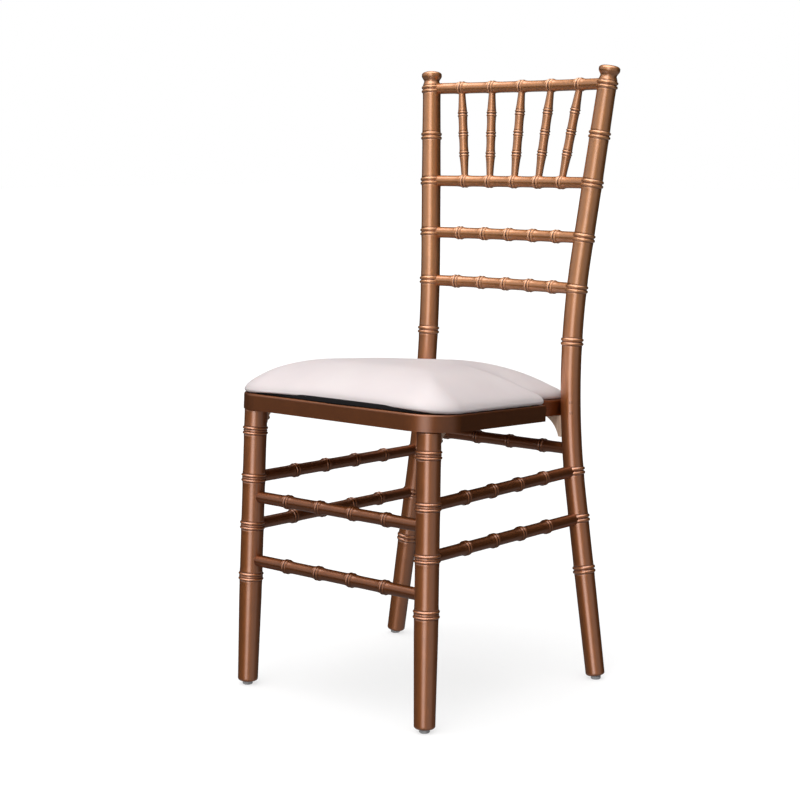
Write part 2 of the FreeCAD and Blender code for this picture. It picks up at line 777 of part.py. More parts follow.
def side_tenons(label, side, margin):
    """Tenons of a side rail, or with a margin the mortises for them, in the seat's frame."""
    front, back = seat_joints()
    width = size("tenon_width") + margin * 2
    thickness = size("tenon_thickness") + margin * 2
    length = size("tenon_length") + margin
    boxes = {}
    for end, place, low in (("front", front, front - length.value), ("back", back, back)):
        middle = side * (opening_half(place) + number("rabbet") + number("tenon_width") / 2)
        corner = (middle - width.value / 2, low, number("tenon_thickness") / 2 - margin)
        box = block(f"{label}_{end}", Placement(), Placement(), corner, (width, length, thickness))
        boxes[end] = box
    return boxes


def ease(body, name, radius_name, test):
    """Rounds the edges that pass the test."""
    doc.recompute()
    base = body.Tip
    edges = enumerate(base.Shape.Edges, start=1)
    chosen = [f"Edge{index}" for index, edge in edges if test(edge)]
    fillet = body.newObject("PartDesign::Fillet", name)
    fillet.Base = (base, chosen)
    fillet.setExpression("Radius", f"Sizes.{radius_name}")


def seat_front_rail():
    front = -number("seat_front")
    back = seat_joints()[0]
    corner = front + number("seat_corner_radius")
    wide = side_edge(corner)
    inner = side_edge(back)
    straight = wide - number("seat_corner_radius")
    points = [
        (-straight, front),
        (straight, front),
        (wide, corner),
        (inner, back),
        (-inner, back),
        (-wide, corner),
    ]
    arcs = {1: (straight, corner), 5: (-straight, corner)}
    body = new_body("seat_front_rail_blank")
    pad(body, "seat_front_rail_pad", points, size("seat_thickness"), arcs)
    ease(body, "seat_front_rail_ease", "seat_edge_round", outer_top)
    return body


def seat_rails():
    frame = seat_frame()
    recess_margin = number("rabbet") + number("socket_clearance")
    recess_depth = size("panel_thickness") + clearance
    mortises = {}
    for name, side in SIDES.items():
        mortises[name] = side_tenons(f"seat_mortise_{name}", side, number("socket_clearance"))

    front = seat_front_rail()
    tools = [panel_body("seat_front_recess", recess_margin, recess_depth)]
    tools += [mortises[name]["front"] for name in SIDES]
    radius = size("leg_tenon_diameter") / 2 + clearance
    reach = size("leg_diameter") / 2 + size("tenon_length") + clearance * 2
    for name, side in SIDES.items():
        foot, top = leg_line(side)
        start = top - (top - foot).normalize() * number("leg_diameter") / 2
        tools.append(socket(f"seat_leg_mortise_{name}", frame, start, top, radius, reach))
    seat_part("seat_rail_front", front, tools)

    half = tongue_half()
    back_edge = number("seat_back")
    back_start = seat_joints()[1]
    back = new_body("seat_back_rail_blank")
    corners = [(-half, back_start), (half, back_start), (half, back_edge), (-half, back_edge)]
    pad(back, "seat_back_rail_pad", corners, size("seat_thickness"))
    ease(back, "seat_back_rail_ease", "seat_edge_round", outer_top)
    tools = [panel_body("seat_back_recess", recess_margin, recess_depth)]
    tools += [mortises[name]["back"] for name in SIDES]
    seat_part("seat_rail_back", back, tools)

    for name, side in SIDES.items():
        label = f"seat_rail_{name}"
        seat_side_rail(label, side, half, recess_margin, recess_depth)

    panel = panel_body("seat_panel_sheet_body", number("rabbet"), size("panel_thickness"))
    panel.Placement = frame * panel.Placement
    keep("seat_panel", panel)


def outer_top(edge):
    """True for the upper edges along the outside of the seat, away from its inner joints."""
    middle = edge.valueAt((edge.FirstParameter + edge.LastParameter) / 2)
    top = number("seat_thickness")
    high = all(abs(vertex.Z - top) < same_place for vertex in edge.Vertexes)
    joint = any(abs(middle.y - place) < same_place for place in seat_joints())
    within = abs(middle.x) < opening_half(middle.y) + same_place
    return high and not joint and not (within and middle.y > seat_joints()[0])


def seat_side_rail(label, side, half, recess_margin, recess_depth):
    front, back = seat_joints()
    radius = number("seat_notch_radius")
    end = number("seat_side_end")
    points = [
        (side * opening_half(front), front),
        (side * side_edge(front), front),
        (side * side_edge(end), end),
        (side * (half + radius), end),
        (side * half, end + radius),
        (side * half, back),
        (side * opening_half(back), back),
    ]
    arcs = {3: (side * (half + radius), end + radius)}
    body = new_body(label + "_blank")
    pad(body, label + "_pad", points, size("seat_thickness"), arcs)
    ease(body, label + "_ease", "seat_edge_round", outer_top)
    tenons = side_tenons(label + "_tenon", side, 0)
    joined = doc.addObject("Part::MultiFuse", label + "_joined")
    joined.Shapes = [body] + list(tenons.values())
    joined.Placement = seat_frame()
    recess = panel_body(label + "_recess", recess_margin, recess_depth)
    return cut(label, joined, [recess])


def hollow_centre(start, finish, depth):
    """Centre of the arc that hollows the line between two points by a depth, beyond its right."""
    start, finish = (Vector(x.value, y.value, 0) for x, y in (start, finish))
    chord = finish - start
    radius = (chord.Length ** 2 / 4 + depth ** 2) / (2 * depth)
    aside = Vector(-chord.y, chord.x, 0).normalize()
    centre = (start + finish) / 2 - aside * (depth - radius)
    return centre.x, centre.y


def gusset(label, origin, heading, reach, drop, hollow, carrier):
    """A corner block under the seat with a hollow lower edge, scribed to a leg or post.

    origin lies on the carrier's axis in the seat's frame; carrier is (start, finish, radius).
    """
    start, finish, radius = carrier
    tip = size("gusset_tip")
    length = reach + radius
    points = [(0, 0), (length, 0), (length, -tip), (tip + radius, -drop), (0, -drop)]
    arcs = {2: hollow_centre(points[2], points[3], hollow.value)}
    up = Vector(0, 0, 1)
    turn = Rotation(heading, up, heading.cross(up), "XYZ")
    lift = Vector(origin.x, origin.y, -number("socket_clearance"))
    centre = seat_frame() * Placement(lift, turn)
    frame = centre * Placement(Vector(0, 0, -number("gusset_thickness") / 2), Rotation())
    body = new_body(label + "_blank", frame)
    pad(body, label + "_plate", points, size("gusset_thickness"), arcs)
    span = (finish - start).Length
    scribe = socket(label + "_scribe", frame, start, finish, radius + clearance, span)
    return cut(label, body, [scribe])


def gussets():
    for name, side in SIDES.items():
        foot, top = leg_line(side)
        place = seat_frame().inverse().multVec(top)
        carrier = (foot, top + (top - foot), size("leg_diameter") / 2)
        shape = [size("front_gusset_" + word) for word in ("reach", "drop", "hollow")]
        gusset(f"gusset_front_{name}", place, Vector(0, 1, 0), *shape, carrier)
        underside = seat_frame().multVec(Vector(0, number("rear_foot_back"), 0)).z
        low = posts[side].point(underside - number("back_gusset_drop"))
        high = posts[side].point(underside)
        place = seat_frame().inverse().multVec(high)
        carrier = (low - (high - low), high + (high - low), size("post_diameter") / 2 + clearance)
        shape = [size("back_gusset_" + word) for word in ("reach", "drop", "hollow")]
        gusset(f"gusset_back_{name}", place, Vector(-side, 0, 0), *shape, carrier)


# Cushion

def cushion_points(inset):
    """Outline of the cushion, inset from the edge of the seat, with the notches for the posts."""
    front = -number("seat_front") + inset
    radius = number("seat_corner_radius") - inset
    corner = front + radius
    wide = side_edge(corner) - inset
    straight = wide - radius
    end = number("seat_side_end") - inset
    notch = number("seat_notch_radius")
    half = number("cushion_tongue_width") / 2 - inset
    hollow_x = half + inset + notch
    hollow_y = number("seat_side_end") + notch
    back = number("seat_back") - inset
    one_side = [
        (straight, front),
        (wide, corner),
        (side_edge(end) - inset, end),
        (hollow_x, end),
        (half, hollow_y),
        (half, back),
    ]
    other_side = [(-x, y) for x, y in reversed(one_side)]
    points = one_side + other_side
    arcs = {
        0: (straight, corner),
        3: (hollow_x, hollow_y),
        7: (-hollow_x, hollow_y),
        10: (-straight, corner),
    }
    return points, arcs


def cushion_body(name, inset, lift):
    frame = seat_frame() * Placement(Vector(0, 0, lift), Rotation())
    body = new_body(name, frame)
    points, arcs = cushion_points(inset)
    return body, points, arcs


def crown_points(inset):
    """Four corners of the seat's outline without its rounding and notches, inset from the edge."""
    front = -number("seat_front") + inset
    back = number("seat_back") - inset
    ends = ((-1, front), (1, front), (1, back), (-1, back))
    return [(side * (side_edge(place) - inset), place) for side, place in ends]


def cushion():
    rest = number("seat_thickness") + number("board_gap")
    board, points, arcs = cushion_body("cushion_board_body", number("board_inset"), rest)
    pad(board, "cushion_board_sheet", points, size("board_thickness"), arcs)
    keep("cushion_board", board)

    lift = rest + number("board_thickness") + number("pad_gap")
    soft, points, arcs = cushion_body("cushion_pad_outline", number("pad_inset"), lift)
    pad(soft, "cushion_pad_foam", points, size("pad_height"), arcs)
    crown = new_body("cushion_crown")
    crown_levels = (
        (0, 0),
        (number("pad_edge_height"), 0),
        (number("pad_shoulder_height"), number("pad_shoulder_inset")),
        (number("pad_height"), number("pad_crown_inset")),
    )
    sketches = []
    for height, inset in crown_levels:
        offset = Placement(Vector(0, 0, height), Rotation())
        sketch = new_sketch(crown, f"cushion_level_{len(sketches)}", "XY_Plane", offset)
        draw_outline(sketch, crown_points(inset))
        sketch.Visibility = False
        sketches.append(sketch)
    loft = crown.newObject("PartDesign::AdditiveLoft", "cushion_crown_loft")
    loft.Profile = sketches[0]
    loft.Sections = sketches[1:]
    loft.Ruled = True
    frame = soft.Placement
    soft.Placement = Placement()
    crowned = doc.addObject("Part::Common", "cushion_pad_crowned")
    crowned.Base = soft
    crowned.Tool = crown
    crowned.Placement = frame
    keep("cushion_pad", crowned)


for name, (start, finish) in stretcher_lines().items():
    stretcher(name, start, finish)
for index, (foot, head) in enumerate(spindle_lines(), start=1):
    spindle(f"spindle_{index}", foot, head)
rail("crest_rail", "crest", "crest_ring_pitch", drilled=True)
rail("spindle_rail", "spindle_rail", "rail_ring_pitch", drilled=True)
rail("back_rail_upper", "upper_rail", "rail_ring_pitch", drilled=False)
rail("back_rail_lower", "lower_rail", "rail_ring_pitch", drilled=False)
for name, side in SIDES.items():
    front_leg(name, side)
    back_post(name, side)
    glide(f"glide_front_{name}", leg_line(side)[0])
    glide(f"glide_back_{name}", posts[side].point(0))
seat_rails()
gussets()
cushion()
doc.recompute()

broken = [item.Name for item in doc.Objects if {"Invalid", "Error"} & set(item.State)]
if broken:
    raise RuntimeError(f"failed objects: {broken}")
for label, part in parts.items():
    if part.Shape.isNull() or not part.Shape.isValid() or not part.Shape.Solids:
        raise RuntimeError(f"bad shape: {label}")

os.makedirs("parts", exist_ok=True)
for label, part in parts.items():
    part.Shape.exportStep(f"parts/{label}.step")
print(len(parts), "parts written")
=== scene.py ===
import bpy
import bmesh
import math
import numpy as np
from mathutils import Matrix, Vector


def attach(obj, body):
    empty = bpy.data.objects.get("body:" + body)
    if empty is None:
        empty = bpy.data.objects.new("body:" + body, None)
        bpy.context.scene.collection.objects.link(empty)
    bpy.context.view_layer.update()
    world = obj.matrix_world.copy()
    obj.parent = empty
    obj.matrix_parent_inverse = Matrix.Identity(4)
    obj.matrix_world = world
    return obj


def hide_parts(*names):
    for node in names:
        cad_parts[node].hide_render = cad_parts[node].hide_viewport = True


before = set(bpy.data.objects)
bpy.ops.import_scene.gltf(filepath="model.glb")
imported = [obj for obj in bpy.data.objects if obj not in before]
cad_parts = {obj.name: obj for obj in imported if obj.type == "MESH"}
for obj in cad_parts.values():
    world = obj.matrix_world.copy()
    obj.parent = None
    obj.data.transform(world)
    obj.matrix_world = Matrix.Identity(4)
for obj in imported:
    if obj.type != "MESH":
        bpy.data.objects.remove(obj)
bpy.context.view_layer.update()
print("frame loaded", len(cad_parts), "nodes")

mm = 0.001


# Materials

lacquer = {
    "deep": (0.120, 0.034, 0.009),     # painted shade in the grooves, a dark brown
    "body": (0.590, 0.228, 0.060),     # copper bronze of the open surfaces
    "rubbedAndHighlit": (0.680, 0.300, 0.100),   # worn thin lacquer and a painted highlight, on the crests
    "metal": 0.92,
    "roughness": (0.41, 0.55),         # smoothest and roughest
    "coat": 1.0,
    "coatRoughness": 0.24,
    "coatIndex": 2.0,
    "hazePerMetre": 120.0,
    "speckle": 900.0,                  # grains per metre of the orange peel
    "peelDepth": 0.00006,
    "peelStrength": 0.16,
    "crestWear": 0.6,                  # how much of the worn and painted-highlight colour a crest takes
    "paintedShadeLow": (0.80, 0.64, 0.52),     # painted shade: the lacquer is drawn darker near the floor, where less light reaches
    "paintedShadeHigh": (1.0, 1.0, 1.0),
    "paintedShadeHeights": (0.40, 0.62),       # metres above the floor
    "shaded": (0.42, 0.31, 0.22),      # painted shade: a darker copy of the lacquer for the seat rails and stretchers, which get less light
    "shadedCoat": 0.5,
    "cloudsPerMetre": 38.0,
    "shades": ((0.30, 0.90), (0.62, 1.0), (0.90, 1.07)),   # soft clouds in the lacquer
}


def newMaterial(name, colour):
    material = bpy.data.materials.new(name)
    material.use_nodes = True
    shader = material.node_tree.nodes["Principled BSDF"]
    shader.inputs["Base Color"].default_value = (*colour, 1)
    material.diffuse_color = (*colour, 1)
    return material, material.node_tree, shader


def addNode(tree, kind, place, **values):
    node = tree.nodes.new(kind)
    node.location = place
    for key, value in values.items():
        if key in node.inputs:
            node.inputs[key].default_value = value
        else:
            setattr(node, key, value)
    return node


def colourRamp(tree, place, stops):
    node = tree.nodes.new("ShaderNodeValToRGB")
    node.location = place
    while len(node.color_ramp.elements) < len(stops):
        node.color_ramp.elements.new(0.5)
    for element, (position, colour) in zip(node.color_ramp.elements, stops):
        element.position = position
        element.color = (*colour, 1)
    return node


def addRoughness(tree, place, source, span, shader):
    gloss = addNode(tree, "ShaderNodeMapRange", place)
    gloss.inputs["To Min"].default_value, gloss.inputs["To Max"].default_value = span
    tree.links.new(source, gloss.inputs["Value"])
    tree.links.new(gloss.outputs["Result"], shader.inputs["Roughness"])


def addBump(tree, place, source, strength, depth, shader):
    bump = addNode(tree, "ShaderNodeBump", place, Strength=strength, Distance=depth)
    tree.links.new(source, bump.inputs["Height"])
    tree.links.new(bump.outputs["Normal"], shader.inputs["Normal"])


def bronzeLacquer(name, paintedShadeLow, paintedShadeHigh, coat):
    values = lacquer
    material, tree, shader = newMaterial(name, values["body"])
    shader.inputs["Metallic"].default_value = values["metal"]
    shader.inputs["Coat Weight"].default_value = coat
    shader.inputs["Coat Roughness"].default_value = values["coatRoughness"]
    shader.inputs["Coat IOR"].default_value = values["coatIndex"]
    where = addNode(tree, "ShaderNodeTexCoord", (-1400, 0)).outputs["Object"]
    wornWithPaintedLight = wornLacquerWithPaintedLight(tree, where)
    heightShaded = shadeByHeight(tree, where, wornWithPaintedLight, paintedShadeLow, paintedShadeHigh)
    tree.links.new(heightShaded, shader.inputs["Base Color"])
    haze = addNode(tree, "ShaderNodeTexNoise", (-1100, -520), Scale=values["hazePerMetre"], Detail=4.0)
    peel = addNode(tree, "ShaderNodeTexNoise", (-1100, -800), Scale=values["speckle"], Detail=3.0)
    for noise in (haze, peel):
        tree.links.new(where, noise.inputs["Vector"])
    addRoughness(tree, (-820, -520), haze.outputs["Fac"], values["roughness"], shader)
    peeled = peel.outputs["Fac"]
    addBump(tree, (-520, -800), peeled, values["peelStrength"], values["peelDepth"], shader)
    return material


def wornLacquerWithPaintedLight(tree, where):
    values = lacquer
    link = tree.links.new
    cloud = addNode(
        tree, "ShaderNodeTexNoise", (-1100, 250),
        Scale=values["cloudsPerMetre"], Detail=6.0, Roughness=0.6,
    )
    link(where, cloud.inputs["Vector"])
    shades = [(place, [part * share for part in values["body"]]) for place, share in values["shades"]]
    tint = colourRamp(tree, (-820, 250), shades)
    link(cloud.outputs["Fac"], tint.inputs["Fac"])
    # painted shade darkens the grooves and a painted highlight lightens the crests, both read from the
    # relief
    relief = addNode(tree, "ShaderNodeAttribute", (-1100, -80), attribute_name="relief").outputs["Fac"]
    groove = addNode(tree, "ShaderNodeMapRange", (-820, -40))
    groove.inputs["From Min"].default_value = -1.0
    groove.inputs["From Max"].default_value = 0.0
    link(relief, groove.inputs["Value"])
    grooveShaded = addNode(tree, "ShaderNodeMix", (-520, 160), data_type="RGBA")
    grooveShaded.inputs["A"].default_value = (*values["deep"], 1)
    link(groove.outputs["Result"], grooveShaded.inputs["Factor"])
    link(tint.outputs["Color"], grooveShaded.inputs["B"])
    crest = addNode(tree, "ShaderNodeMapRange", (-820, -300))
    crest.inputs["From Min"].default_value = 0.2
    crest.inputs["From Max"].default_value = 1.0
    crest.inputs["To Max"].default_value = values["crestWear"]
    link(relief, crest.inputs["Value"])
    rubbedAndHighlit = addNode(tree, "ShaderNodeMix", (-300, 160), data_type="RGBA")
    rubbedAndHighlit.inputs["B"].default_value = (*values["rubbedAndHighlit"], 1)
    link(crest.outputs["Result"], rubbedAndHighlit.inputs["Factor"])
    link(grooveShaded.outputs["Result"], rubbedAndHighlit.inputs["A"])
    return rubbedAndHighlit.outputs["Result"]


def shadeByHeight(tree, where, colour, paintedShadeLow, paintedShadeHigh):
    # painted shade: the colour darkens towards the floor
    link = tree.links.new
    low, high = lacquer["paintedShadeHeights"]
    split = addNode(tree, "ShaderNodeSeparateXYZ", (-1100, 560))
    link(where, split.inputs["Vector"])
    level = addNode(tree, "ShaderNodeMapRange", (-900, 560))
    level.inputs["From Min"].default_value = low
    level.inputs["From Max"].default_value = high
    link(split.outputs["Z"], level.inputs["Value"])
    tint = colourRamp(tree, (-700, 560), [(0.0, paintedShadeLow), (1.0, paintedShadeHigh)])
    link(level.outputs["Result"], tint.inputs["Fac"])
    heightShaded = addNode(tree, "ShaderNodeMix", (-120, 300), data_type="RGBA", blend_type="MULTIPLY")
    heightShaded.inputs["Factor"].default_value = 1.0
    link(colour, heightShaded.inputs["A"])
    link(tint.outputs["Color"], heightShaded.inputs["B"])
    return heightShaded.outputs["Result"]


bareWood = {
    "light": (0.84, 0.62, 0.48),
    "dark": (0.68, 0.46, 0.33),
    "grainPerMetre": 260.0,
    "grainStretch": 0.08,
    "grainStrength": 0.3,
    "grainDepth": 0.0001,
    "roughness": 0.62,
}


def bareBeech():
    values = bareWood
    material, tree, shader = newMaterial("bareBeech", values["light"])
    link = tree.links.new
    shader.inputs["Roughness"].default_value = values["roughness"]
    where = addNode(tree, "ShaderNodeTexCoord", (-1200, 0))
    stretch = addNode(tree, "ShaderNodeMapping", (-1000, 0))
    stretch.inputs["Scale"].default_value = (1.0, 1.0, values["grainStretch"])
    link(where.outputs["Object"], stretch.inputs["Vector"])
    grain = addNode(
        tree, "ShaderNodeTexNoise", (-800, 0),
        Scale=values["grainPerMetre"], Detail=5.0, Distortion=0.4,
    )
    link(stretch.outputs["Vector"], grain.inputs["Vector"])
    tint = colourRamp(tree, (-560, 0), [(0.35, values["dark"]), (0.65, values["light"])])
    figure = grain.outputs["Fac"]
    link(figure, tint.inputs["Fac"])
    link(tint.outputs["Color"], shader.inputs["Base Color"])
    addBump(tree, (-300, -300), figure, values["grainStrength"], values["grainDepth"], shader)
    return material


leatherette = {
    "top": (0.625, 0.562, 0.560),
    "shade": (0.580, 0.515, 0.520),
    "roughness": (0.41, 0.53),
    "sheen": 0.12,
    "sheenRoughness": 0.5,
    "subsurface": 0.04,
    "patchesPerMetre": 9.0,
    "grainPerMetre": 520.0,
    "grainDepth": 0.00012,
    "grainStrength": 0.25,
}


def coverLeatherette():
    values = leatherette
    material, tree, shader = newMaterial("coverLeatherette", values["top"])
    link = tree.links.new
    shader.inputs["Sheen Weight"].default_value = values["sheen"]
    shader.inputs["Sheen Roughness"].default_value = values["sheenRoughness"]
    shader.inputs["Subsurface Weight"].default_value = values["subsurface"]
    where = addNode(tree, "ShaderNodeTexCoord", (-1300, 0))
    patch = addNode(
        tree, "ShaderNodeTexNoise", (-1000, 250),
        Scale=values["patchesPerMetre"], Detail=4.0,
    )
    link(where.outputs["Object"], patch.inputs["Vector"])
    tint = colourRamp(tree, (-720, 250), [(0.25, values["shade"]), (0.6, values["top"])])
    link(patch.outputs["Fac"], tint.inputs["Fac"])
    link(tint.outputs["Color"], shader.inputs["Base Color"])
    addRoughness(tree, (-720, 0), patch.outputs["Fac"], values["roughness"], shader)
    pebble = addNode(tree, "ShaderNodeTexVoronoi", (-1000, -300), Scale=values["grainPerMetre"])
    pebble.feature = "SMOOTH_F1"
    link(where.outputs["Object"], pebble.inputs["Vector"])
    height = pebble.outputs["Distance"]
    addBump(tree, (-500, -300), height, values["grainStrength"], values["grainDepth"], shader)
    return material


dustCover = {
    "colour": (0.012, 0.011, 0.012),
    "roughness": 0.85,
    "specular": 0.15,
    "threads": 420.0,
    "weaveStrength": 0.5,
    "weaveDepth": 0.0002,
}


def blackDustCover():
    values = dustCover
    material, tree, shader = newMaterial("blackDustCover", values["colour"])
    link = tree.links.new
    shader.inputs["Roughness"].default_value = values["roughness"]
    shader.inputs["Specular IOR Level"].default_value = values["specular"]
    where = addNode(tree, "ShaderNodeTexCoord", (-1100, 0))
    weft = addNode(tree, "ShaderNodeTexWave", (-800, 100), Scale=values["threads"], Distortion=0.3)
    warp = addNode(tree, "ShaderNodeTexWave", (-800, -200), Scale=values["threads"], Distortion=0.3)
    warp.bands_direction = "Y"
    weave = addNode(tree, "ShaderNodeMath", (-560, 0), operation="MAXIMUM")
    link(where.outputs["Object"], weft.inputs["Vector"])
    link(where.outputs["Object"], warp.inputs["Vector"])
    link(weft.outputs["Fac"], weave.inputs[0])
    link(warp.outputs["Fac"], weave.inputs[1])
    height = weave.outputs["Value"]
    addBump(tree, (-300, 0), height, values["weaveStrength"], values["weaveDepth"], shader)
    return material


glideNylon = {
    "colour": (0.42, 0.42, 0.43),
    "scuffed": (0.34, 0.34, 0.35),
    "clean": (0.50, 0.50, 0.51),
    "scuffsPerMetre": 300.0,
    "roughness": (0.4, 0.6),
}


def greyNylon():
    values = glideNylon
    material, tree, shader = newMaterial("greyNylon", values["colour"])
    link = tree.links.new
    where = addNode(tree, "ShaderNodeTexCoord", (-1100, 0))
    scuff = addNode(tree, "ShaderNodeTexNoise", (-800, 0), Scale=values["scuffsPerMetre"], Detail=4.0)
    tint = colourRamp(tree, (-520, 0), [(0.3, values["scuffed"]), (0.7, values["clean"])])
    link(where.outputs["Object"], scuff.inputs["Vector"])
    link(scuff.outputs["Fac"], tint.inputs["Fac"])
    link(tint.outputs["Color"], shader.inputs["Base Color"])
    addRoughness(tree, (-520, -250), scuff.outputs["Fac"], values["roughness"], shader)
    return material


screwZinc = {
    "colour": (0.52, 0.47, 0.40),
    "hazePerMetre": 700.0,
    "roughness": (0.25, 0.5),
}


def zincScrew():
    values = screwZinc
    material, tree, shader = newMaterial("zincScrew", values["colour"])
    shader.inputs["Metallic"].default_value = 1.0
    where = addNode(tree, "ShaderNodeTexCoord", (-900, 0))
    haze = addNode(tree, "ShaderNodeTexNoise", (-700, 0), Scale=values["hazePerMetre"], Detail=3.0)
    tree.links.new(where.outputs["Object"], haze.inputs["Vector"])
    addRoughness(tree, (-400, 0), haze.outputs["Fac"], values["roughness"], shader)
    return material


materials = {
    "bronze": bronzeLacquer(
        "bronzeLacquer", lacquer["paintedShadeLow"], lacquer["paintedShadeHigh"], lacquer["coat"],
    ),
    # painted shade: a darker copy of the lacquer with less coat
    "shadedBronze": bronzeLacquer(
        "shadedLacquer", lacquer["shaded"], lacquer["shaded"], lacquer["shadedCoat"],
    ),
    "beech": bareBeech(),
    "leatherette": coverLeatherette(),
    "dustCover": blackDustCover(),
    "nylon": greyNylon(),
    "screw": zincScrew(),
}
print("materials made")


# Turned wood

turning = {
    "sides": 72,
    "beadSteps": 6,         # stations across one bead
    "grooveDepth": 0.4 * mm,
    "grooveWidth": 1.0 * mm,
    "filletRise": 0.45 * mm,    # flat band between two beads that stand well apart
    "footSteps": 6,
    "longestRun": 2.0 * mm,     # between two stations along a piece
}


# A station is a distance along the axis, a radius and a relief: -1 in a groove, 1 on a crest

# the relief of a station paints shade into a groove and a painted highlight, with wear, onto a crest
def doubleRing(centre, radius, ring):
    groove = turning["grooveWidth"]
    depth = turning["grooveDepth"]
    width, gap, rise = (ring[key] * mm for key in ("beadWidth", "beadGap", "rise"))
    outer = gap / 2 + width
    stations = [(centre - outer - groove, radius, 0.0)]
    stations.append((centre - outer - groove / 2, radius - depth, -1.0))
    for start in (centre - outer, centre + gap / 2):
        for index in range(turning["beadSteps"] + 1):
            share = index / turning["beadSteps"]
            height = math.sqrt(max(0.0, 1 - (2 * share - 1) ** 2))
            reach = radius - depth / 2 + (rise + depth / 2) * height
            stations.append((start + width * share, reach, height))
        if start < centre:
            stations += ringMiddle(centre, radius, gap, depth, groove)
    stations.append((centre + outer + groove / 2, radius - depth, -1.0))
    stations.append((centre + outer + groove, radius, 0.0))
    return stations


def ringMiddle(centre, radius, gap, depth, groove):
    if gap < 4 * groove:
        return [(centre, radius - depth, -1.0)]
    crest = gap / 2 - groove
    fillet = radius + turning["filletRise"]
    return [
        (centre - gap / 2 + groove / 2, radius - depth, -1.0),
        (centre - crest, radius, 0.0),
        (centre - crest / 2, fillet, 0.5),
        (centre + crest / 2, fillet, 0.5),
        (centre + crest, radius, 0.0),
        (centre + gap / 2 - groove / 2, radius - depth, -1.0),
    ]


def smoothRuns(stations):
    longest = turning["longestRun"]
    filled = [stations[0]]
    for here in stations[1:]:
        before = filled[-1]
        steps = max(1, math.ceil((here[0] - before[0]) / longest))
        for index in range(1, steps):
            share = index / steps
            filled.append(tuple(a + (b - a) * share for a, b in zip(before, here)))
        filled.append(here)
    return filled


def addSwell(stations, centres, ring):
    swell, reach = ring["swell"] * mm, ring["swellReach"] * mm
    swollen = []
    for distance, radius, relief in stations:
        near = min(abs(distance - centre) for centre in centres)
        if radius > 0:
            radius += swell * math.exp(-(near / reach) ** 2)
        swollen.append((distance, radius, relief))
    return swollen


def turnedPiece(name, stations, placeAt, nodes, body, material):
    sides = turning["sides"]
    mesh = bpy.data.meshes.new(name)
    shape = bmesh.new()
    relief = shape.verts.layers.float.new("relief")
    rings = []
    for distance, radius, height in stations:
        centre, right, forward = placeAt(distance)
        if radius < 1e-6:
            vertex = shape.verts.new(centre)
            vertex[relief] = height
            rings.append([vertex])
            continue
        ring = []
        for index in range(sides):
            angle = 2 * math.pi * index / sides
            outward = right * math.cos(angle) + forward * math.sin(angle)
            vertex = shape.verts.new(centre + outward * radius)
            vertex[relief] = height
            ring.append(vertex)
        rings.append(ring)
    for low, high in zip(rings, rings[1:]):
        for index in range(sides):
            ahead = (index + 1) % sides
            if len(low) == 1:
                shape.faces.new((low[0], high[ahead], high[index]))
            elif len(high) == 1:
                shape.faces.new((low[index], low[ahead], high[0]))
            else:
                shape.faces.new((low[index], low[ahead], high[ahead], high[index]))
    shape.normal_update()
    bmesh.ops.recalc_face_normals(shape, faces=shape.faces)
    for face in shape.faces:
        face.smooth = True
    shape.to_mesh(mesh)
    shape.free()
    piece = bpy.data.objects.new(name, mesh)
    bpy.context.scene.collection.objects.link(piece)
    mesh.materials.append(material)
    if nodes:
        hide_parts(*nodes)
    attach(piece, body)
    return piece


def straightLine(start, finish):
    along = (finish - start).normalized()
    right = along.cross(Vector((0, 1, 0))).normalized()
    if right.length < 0.5:
        right = Vector((1, 0, 0))
    forward = along.cross(right)
    return lambda distance: (start + along * distance, right, forward)


chairLines = {
    "frontFoot": (175.0, -211.5),
    "frontTop": (168.0, -194.5),
    "rearFoot": (203.0, 156.0),
    "waist": (132.0, 160.0, 459.0),
    "bendRun": 182.0,
    "top": (173.5, 211.6, 920.0),
    "seatTilt": 3.4,
    "seatUnderside": 405.83,           # at the origin
    "seatThickness": 24.0,
}


def seatMatrix():
    tilt = Matrix.Rotation(-math.radians(chairLines["seatTilt"]), 4, "X")
    return Matrix.Translation((0, 0, chairLines["seatUnderside"] * mm)) @ tilt


def legEnds(side):
    footX, footY = chairLines["frontFoot"]
    topX, topY = chairLines["frontTop"]
    rise = chairLines["seatUnderside"] - topY * math.tan(math.radians(chairLines["seatTilt"]))
    return Vector((side * footX, footY, 0)) * mm, Vector((side * topX, topY, rise)) * mm


def legPoint(side, height):
    foot, top = legEnds(side)
    return foot + (top - foot) * (height * mm / top.z)


